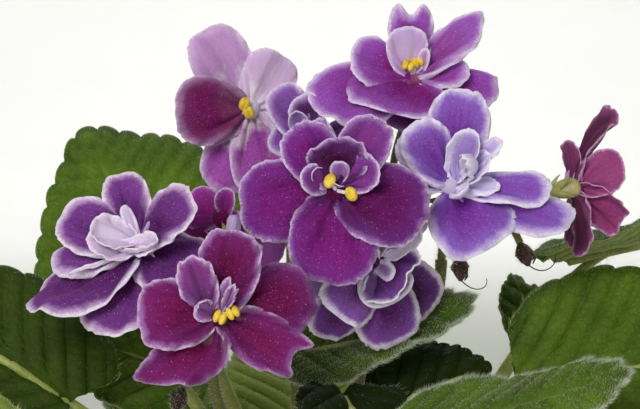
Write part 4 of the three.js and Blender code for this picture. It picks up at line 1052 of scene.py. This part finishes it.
def scatter_tree(name, material, stalked):
    """A Geometry Nodes tree that scatters hairs or grains over a piece. A hair stands along its point's hair_way."""
    tree = bpy.data.node_groups.new(name, "GeometryNodeTree")
    for word, end, kind in (("Geometry", "INPUT", "Geometry"), ("Density", "INPUT", "Float"),
                            ("Length", "INPUT", "Float"), ("Width", "INPUT", "Float"), ("Seed", "INPUT", "Int"),
                            ("Geometry", "OUTPUT", "Geometry")):
        tree.interface.new_socket(word, in_out=end, socket_type="NodeSocket" + kind)
    given = tree.nodes.new("NodeGroupInput").outputs
    amount, size = [add(tree, "GeometryNodeInputNamedAttribute", {"Name": word}, data_type="FLOAT")
                    for word in ("hairs", "hair_size")]
    density = add(tree, "ShaderNodeMath", (amount, given["Density"]), operation="MULTIPLY")
    spots = add(tree, "GeometryNodeDistributePointsOnFaces",
                {"Mesh": given["Geometry"], "Density": density, "Seed": given["Seed"]})
    vary = add(tree, "FunctionNodeRandomValue", {"Min": 0.55, "Max": 1.0, "Seed": 3}, data_type="FLOAT")
    vary = next(out for out in vary.outputs if out.enabled)
    scale = add(tree, "ShaderNodeMath", (size, vary), operation="MULTIPLY")
    low, high = ((-0.24, -0.24, -0.12), (0.24, 0.24, 0.36)) if stalked else ((0, 0, 0), (6.28, 6.28, 6.28))
    turn = add(tree, "FunctionNodeRandomValue", {0: low, 1: high, "Seed": 5}, data_type="FLOAT_VECTOR")
    if stalked:
        way = add(tree, "GeometryNodeInputNamedAttribute", {"Name": "hair_way"}, data_type="FLOAT_VECTOR")
        aim = add(tree, "ShaderNodeVectorMath", (way, turn), operation="ADD")
        turn = add(tree, "FunctionNodeAlignRotationToVector", {"Vector": aim}, axis="Z")
        grain = add(tree, "GeometryNodeMeshCone", {"Vertices": 3, "Radius Top": 0, "Radius Bottom": given["Width"],
                                                   "Depth": given["Length"]}, fill_type="NGON")
        sizes = add(tree, "ShaderNodeCombineXYZ", (1, 1, scale))
    else:
        grain = add(tree, "GeometryNodeMeshIcoSphere", {"Radius": given["Length"], "Subdivisions": 1})
        flat = add(tree, "ShaderNodeMath", (scale, given["Width"]), operation="MULTIPLY")
        sizes = add(tree, "ShaderNodeCombineXYZ", (scale, scale, flat))
    placed_grains = add(tree, "GeometryNodeInstanceOnPoints", {
        "Points": spots.outputs["Points"], "Instance": grain.outputs["Mesh"], "Rotation": turn, "Scale": sizes})
    real = add(tree, "GeometryNodeRealizeInstances", {"Geometry": placed_grains})
    finish = add(tree, "GeometryNodeSetMaterial", {"Geometry": real, "Material": material})
    add(tree, "NodeGroupOutput", {"Geometry": finish})
    return tree


def scatter(source, name, tree, values, node):
    """Runs a scatter tree over a piece and keeps the result as a plain piece of its own."""
    maker = placed(name + "_maker", source.data)
    modifier = maker.modifiers.new("scatter", "NODES")
    modifier.node_group = tree
    for item in tree.interface.items_tree:
        if item.in_out == "INPUT" and item.name in values:
            modifier[item.identifier] = values[item.name]
    mesh = settled(maker)
    mesh.name = name
    bpy.data.objects.remove(maker)
    return dress(placed(name, mesh), node)


def hairs(source, name, share, node, slot, seed):
    """Grows hairs on a piece, at a share of the usual density."""
    plant = bpy.context.scene.violet_plant
    tree = bpy.data.node_groups.get("hair_scatter") or scatter_tree("hair_scatter", plant_hair(plant), True)
    values = {"Density": plant.hairs_per_square * share * 1e4, "Length": plant.hair_length,
              "Width": plant.hair_width, "Seed": seed}
    return scatter(source, name, tree, values, node)


def outer_radius(z):
    """The pot's outer radius under its lip at a height."""
    return POT["foot"] + (POT["mouth"] - POT["foot"]) / POT["height"] * z


def clay_pot(plant):
    """The pot: a thrown clay pot with a rolled lip and drain holes, as one closed shape."""
    height, foot, mouth, wall, lip = [POT[word] for word in ("height", "foot", "mouth", "wall", "lip")]
    band, roll = height - POT["lip_height"], 2.4
    under = outer_radius(band)
    profile = [(0, 0), (foot - 2.2, 0), (foot - 0.7, 0.35), (foot - 0.05, 1.3)]
    profile += [(outer_radius(z), z) for z in np.linspace(3, band - 1.2, 14)]
    profile += [(under + 0.3, band - 0.3), (under + lip - 0.9, band + 0.1), (under + lip, band + 1)]
    profile += [(outer_radius(z) + lip, z) for z in np.linspace(band + 2, height - roll, 6)]
    profile += [(mouth + lip - roll + roll * math.cos(turn), height - roll + roll * math.sin(turn))
                for turn in np.linspace(0, math.pi, 9)]
    profile += [(mouth - wall + 0.7, height - 5), (under - wall, band), (outer_radius(40) - wall, 40),
                (foot - wall + 0.4, wall + 1.4), (foot - wall - 1.2, wall), (0, wall)]
    shape, cutter = Shape(), Shape()
    shape.add(*lathe(profile, 128))
    for number in range(DRAIN["count"]):
        turn = (number + 0.5) * 2 * math.pi / DRAIN["count"]
        points, faces = lathe([(0, -9), (DRAIN["radius"], -9), (DRAIN["radius"], 9), (0, 9)], 32)
        cutter.add(points + [DRAIN["from"] * math.cos(turn), DRAIN["from"] * math.sin(turn), 0], faces)
    clay = fired_clay(plant)
    pot = shape.piece("clay_pot", [clay], "pot", "pot")
    drill = cutter.solid("drain_cutter", [clay])
    cut = pot.modifiers.new("drains", "BOOLEAN")
    cut.operation, cut.solver, cut.object = "DIFFERENCE", "EXACT", drill
    mesh = settled(pot)
    pot.modifiers.clear()
    pot.data = mesh
    mesh.name = "clay_pot"
    bpy.data.objects.remove(drill)
    creased = np.array([abs(p.normal.z) > 0.9 and p.center.z < 4 * MM for p in mesh.polygons])
    mesh.polygons.foreach_set("use_smooth", (~creased).tolist())


def potting_mix():
    """The soil: a solid filling with a crumbly mound, and loose crumbs and perlite on it."""
    level, mound, low = SOIL["top"], SOIL["mound"] * 0.8, 3.4
    inside = lambda z: outer_radius(z) - POT["wall"] - 0.3
    edge = inside(level) - 0.8
    profile = [(0, low), (POT["foot"] - 4.4, low), (inside(6), 5), (inside(level - 3), level - 3), (edge, level)]
    profile += [(r, level + mound * (1 - (r / edge) ** 2)) for r in np.linspace(edge - 1.2, 0.6, 34)]
    profile.append((0, level + mound))

    def crumble(rings):
        x, y, z = np.moveaxis(rings, -1, 0)
        lumps = 0.5 * ripple(x, y, 3.2, 4) + 0.45 * ripple(x, y, 1.5, 8)
        rings[..., 2] += smooth(level - 0.5, level + 0.5, z) * lumps
        return rings

    points, faces = lathe(profile, 110, crumble)
    open_soil = np.hypot(points[:, 0], points[:, 1]) > CROWN["radius"]
    shape = Shape()
    shape.add(points, faces, hairs=smooth(level - 0.2, level + 0.6, points[:, 2]) * open_soil, hair_size=1)
    soil = shape.piece("potting_mix", [plain_tissue("peat_mix")], "soil", "soil")
    for name, tree, tissue, density, size, flat, seed in (
            ("soil_crumbs", "crumb_scatter", "bark_crumbs", 130000.0, 0.95, 0.6, 11),
            ("soil_perlite", "perlite_scatter", "perlite_grains", 22000.0, 0.85, 0.8, 12)):
        values = {"Density": density, "Length": size * MM, "Width": flat, "Seed": seed}
        scatter(soil, name, scatter_tree(tree, plain_tissue(tissue), False), values, "soil")


def short_crown():
    """The crown: a short knobbly stem with the scars of old leaf stalks."""
    r, top, soil, dome = CROWN["radius"], CROWN["top"], SOIL["top"], 14
    profile = [(0, CROWN["bottom"]), (r * 0.6, CROWN["bottom"]), (r * 0.9, soil)]
    profile += [(r * (0.92 + 0.08 * math.sin((z - soil) / 5)), z) for z in np.linspace(soil + 1, top - dome, 24)]
    profile += [(r * math.sqrt(max(1 - ((z - top + dome) / 14.2) ** 2, 0.02)), z)
                for z in np.linspace(top - 13, top - 0.3, 14)]
    profile.append((0, top))

    def scars(rings):
        x, y, z = np.moveaxis(rings, -1, 0)
        turn = np.arctan2(y, x)
        spiral = np.sin(3 * turn + z * 0.9) * np.sin(2 * turn - z * 0.7)
        size = 1 + (0.05 * spiral + 0.012 * ripple(turn * 9, z, 1.6, 3)) * smooth(soil, soil + 3, z)
        return rings * np.stack([size, size, np.ones_like(size)], -1)

    shape = Shape()
    shape.add(*lathe(profile, 72, scars))
    shape.piece("crown_stem", [plain_tissue("crown_rind")], "crown", "crown")


def colour(name, description, code):
    return bpy.props.FloatVectorProperty(name=name, description=description, subtype="COLOR", size=4, min=0, max=1,
                                         default=linear(code))


class VioletPlant(bpy.types.PropertyGroup):
    """Sizes and colours of the plant that a user would change."""
    leaf_dark: colour("Leaf, dark", "Darker green of the leaf blades", "#36500A")
    leaf_light: colour("Leaf, light", "Lighter green of the leaf blades", "#5C7A16")
    clay: colour("Clay", "Colour of the fired clay pot", "#B4694C")
    hair: colour("Hairs", "Colour of the hairs on leaves and stalks", "#DFE5CC")
    hair_length: bpy.props.FloatProperty(
        name="Hair length", description="Length of the longest leaf hairs", default=1.5 * MM, min=0.0002, max=0.004,
        unit="LENGTH", precision=5)
    hair_width: bpy.props.FloatProperty(
        name="Hair width", description="Radius of a hair at its root, wider than a real hair so that it shows",
        default=0.034 * MM, min=0.00001, max=0.0003, unit="LENGTH", precision=5)
    hairs_per_square: bpy.props.FloatProperty(
        name="Hairs", description="Hairs on a square centimetre of leaf", default=260, min=0, max=1000)


class VioletStage(bpy.types.PropertyGroup):
    """The camera and lights."""
    look_down: bpy.props.FloatProperty(
        name="Look down", description="How far the camera looks down", default=math.radians(10), subtype="ANGLE")
    distance: bpy.props.FloatProperty(
        name="Distance", description="From the camera to the middle bloom", default=0.45, unit="LENGTH")
    key_power: bpy.props.FloatProperty(
        name="Key light", description="Power of the large front light", default=5.8, unit="POWER")
    paper_power: bpy.props.FloatProperty(
        name="Paper light", description="Power of the light on the background", default=18.5, unit="POWER")


class MakeStage(bpy.types.Operator):
    """Makes the camera, the lights and the white paper that the pot stands on"""
    bl_idname = "violet.stage"
    bl_label = "Stage"

    def execute(self, context):
        values, scene = context.scene.violet_stage, context.scene
        tilt = values.look_down
        lens = bpy.data.cameras.new("camera")
        lens.sensor_width, lens.lens, lens.clip_start, lens.clip_end = 36, LENS, 0.02, 20
        scene.camera = placed("camera", lens)
        away = values.distance * np.array([0, -math.cos(tilt), math.sin(tilt)])
        scene.camera.location, scene.camera.rotation_euler = FOCUS + away, (math.pi / 2 - tilt, 0, 0)

        # Each light's place, what it is aimed at, its power, and its width and height
        for name, spot, aim, power, wide, tall in (
                ("key_light", (-0.32, -0.8, 0.72), (0, -0.02, 0.19), values.key_power, 0.42, 0.42),
                ("fill_light", (0.4, -1.0, 0.2), (0.02, 0, 0.18), values.key_power * 0.2, 0.6, 0.6),
                ("paper_light", (0, 0.95, 1.5), (0, 1.6, 0.6), values.paper_power, 1.8, 0.5)):
            data = bpy.data.lights.new(name, "AREA")
            data.energy, data.size = power, wide
            if tall != wide:
                data.shape, data.size_y = "RECTANGLE", tall
            lamp = placed(name, data)
            way = Vector(aim) - Vector(spot)
            lamp.location, lamp.rotation_euler = spot, way.to_track_quat("-Z", "Y").to_euler()

        scene.world = bpy.data.worlds.new("studio")
        scene.world.use_nodes = True
        tree = scene.world.node_tree
        air = tree.nodes["Background"]
        air.inputs["Color"].default_value = linear("#FAFAFA")
        # Brighter to the camera than to the plant, so that the background is white and shadows stay
        eye_ray = add(tree, "ShaderNodeLightPath").outputs["Is Camera Ray"]
        bright = add(tree, "ShaderNodeMapRange", (eye_ray, 0, 1, 0.24, 0.8))
        tree.links.new(bright.outputs[0], air.inputs["Strength"])
        scene.view_settings.view_transform = "Standard"

        across, near, deep, bend, tall = 2.6, -1.6, 1.6, 0.45, 1.7
        side = [(near, 0), (deep - bend, 0)]
        side += [(deep - bend + bend * math.sin(turn), bend - bend * math.cos(turn))
                 for turn in np.linspace(0.06, math.pi / 2, 24)]
        side.append((deep, tall))
        mesh = bpy.data.meshes.new("paper_sweep")
        points = [(x, y, z) for y, z in side for x in (-across, across)]
        mesh.from_pydata(points, [], [(2 * i, 2 * i + 1, 2 * i + 3, 2 * i + 2) for i in range(len(side) - 1)])
        mesh.polygons.foreach_set("use_smooth", [True] * len(mesh.polygons))
        mesh.materials.append(studio_paper())
        placed("paper_sweep", mesh)
        return {"FINISHED"}


class MakePot(bpy.types.Operator):
    """Makes the clay pot, the potting mix and the plant's crown"""
    bl_idname = "violet.pot"
    bl_label = "Pot and soil"

    def execute(self, context):
        clay_pot(context.scene.violet_plant)
        potting_mix()
        short_crown()
        return {"FINISHED"}


class MakeLeaves(bpy.types.Operator):
    """Makes each leaf with its stalk and its hairs"""
    bl_idname = "violet.leaves"
    bl_label = "Leaves"

    def execute(self, context):
        finishes = [leaf_blade(context.scene.violet_plant), plain_tissue("leaf_stalk")]
        for number, name in enumerate(LEAVES):
            node = "leaf_" + name
            piece = leaf(name).piece(node + "_blade", finishes, node, "leaf")
            share = 0.22 if name.startswith("low") else LEAF_HAIRS.get(name, 0.8)
            hairs(piece, node + "_hairs", share, node, "leaf", number + 1)
        return {"FINISHED"}


class MakeStalks(bpy.types.Operator):
    """Makes the flower stalks with their calyces, the dried calyces and the hairs on them"""
    bl_idname = "violet.stalks"
    bl_label = "Flower stalks"

    def execute(self, context):
        green, yellow, brown = [plain_tissue(name) for name in ("flower_stalk", "calyx", "dried_calyx")]
        for number, (name, stalk) in enumerate(STALKS.items()):
            node = "stalk_" + name
            piece = flower_stalk(stalk).piece(node + "_stem", [green, yellow], node, "stalk")
            hairs(piece, node + "_hairs", 0.6, node, "stalk", number + 40)
        for number, name in enumerate(DRIED):
            node = "dried_" + name
            piece = dried_calyx(name).piece(node + "_calyx", [brown], node, "dried")
            hairs(piece, node + "_hairs", 0.8, node, "dried", number + 60)
        return {"FINISHED"}


class MakeBlooms(bpy.types.Operator):
    """Makes each bloom's petals, its pollen sacs and the closed bud"""
    bl_idname = "violet.blooms"
    bl_label = "Blooms"

    def execute(self, context):
        sac, thread, pale = [plain_tissue(name) for name in ("pollen_sac", "white_thread", "flower_tube")]
        looks = {name: {**USUAL_LOOK, "eye": look["pale"], **look} for name, look in BLOOM_LOOKS.items()}
        for name, bloom in BLOOMS.items():
            look, node = looks[name], "bloom_" + name
            corolla(bloom, look, FRILLS.get(name, [])).piece(
                node + "_petals", [petal_velvet("petal_" + name, look), pale], node, look["slot"])
            if "sacs" in bloom:
                node = "anthers_" + name
                anther_pair(bloom).piece(node + "_sacs", [sac, thread], node, "anther")
        closed_bud(BUDS["left"]).piece("bud_left_petals", [petal_velvet("petal_bud", looks["bud"])], "bud_left", "bud")
        return {"FINISHED"}


class VioletPanel(bpy.types.Panel):
    """Lists the makers of the plant's pieces"""
    bl_idname = "VIOLET_PT_makers"
    bl_label = "African violet"
    bl_space_type = "VIEW_3D"
    bl_region_type = "UI"
    bl_category = "Violet"

    def draw(self, context):
        for group in (context.scene.violet_plant, context.scene.violet_stage):
            for word in group.__annotations__:
                self.layout.prop(group, word)
        for maker in MAKERS:
            self.layout.operator(maker.bl_idname)


MAKERS = (MakeStage, MakePot, MakeLeaves, MakeStalks, MakeBlooms)
CLASSES = (VioletPlant, VioletStage, *MAKERS, VioletPanel)


def register():
    for each in CLASSES:
        bpy.utils.register_class(each)
    bpy.types.Scene.violet_plant = bpy.props.PointerProperty(type=VioletPlant)
    bpy.types.Scene.violet_stage = bpy.props.PointerProperty(type=VioletStage)


def unregister():
    del bpy.types.Scene.violet_plant
    del bpy.types.Scene.violet_stage
    for each in reversed(CLASSES):
        bpy.utils.unregister_class(each)


def main():
    register()
    bpy.ops.violet.stage()
    bpy.ops.violet.pot()
    bpy.ops.violet.leaves()
    bpy.ops.violet.stalks()
    bpy.ops.violet.blooms()


if __name__ == "__main__":
    main()
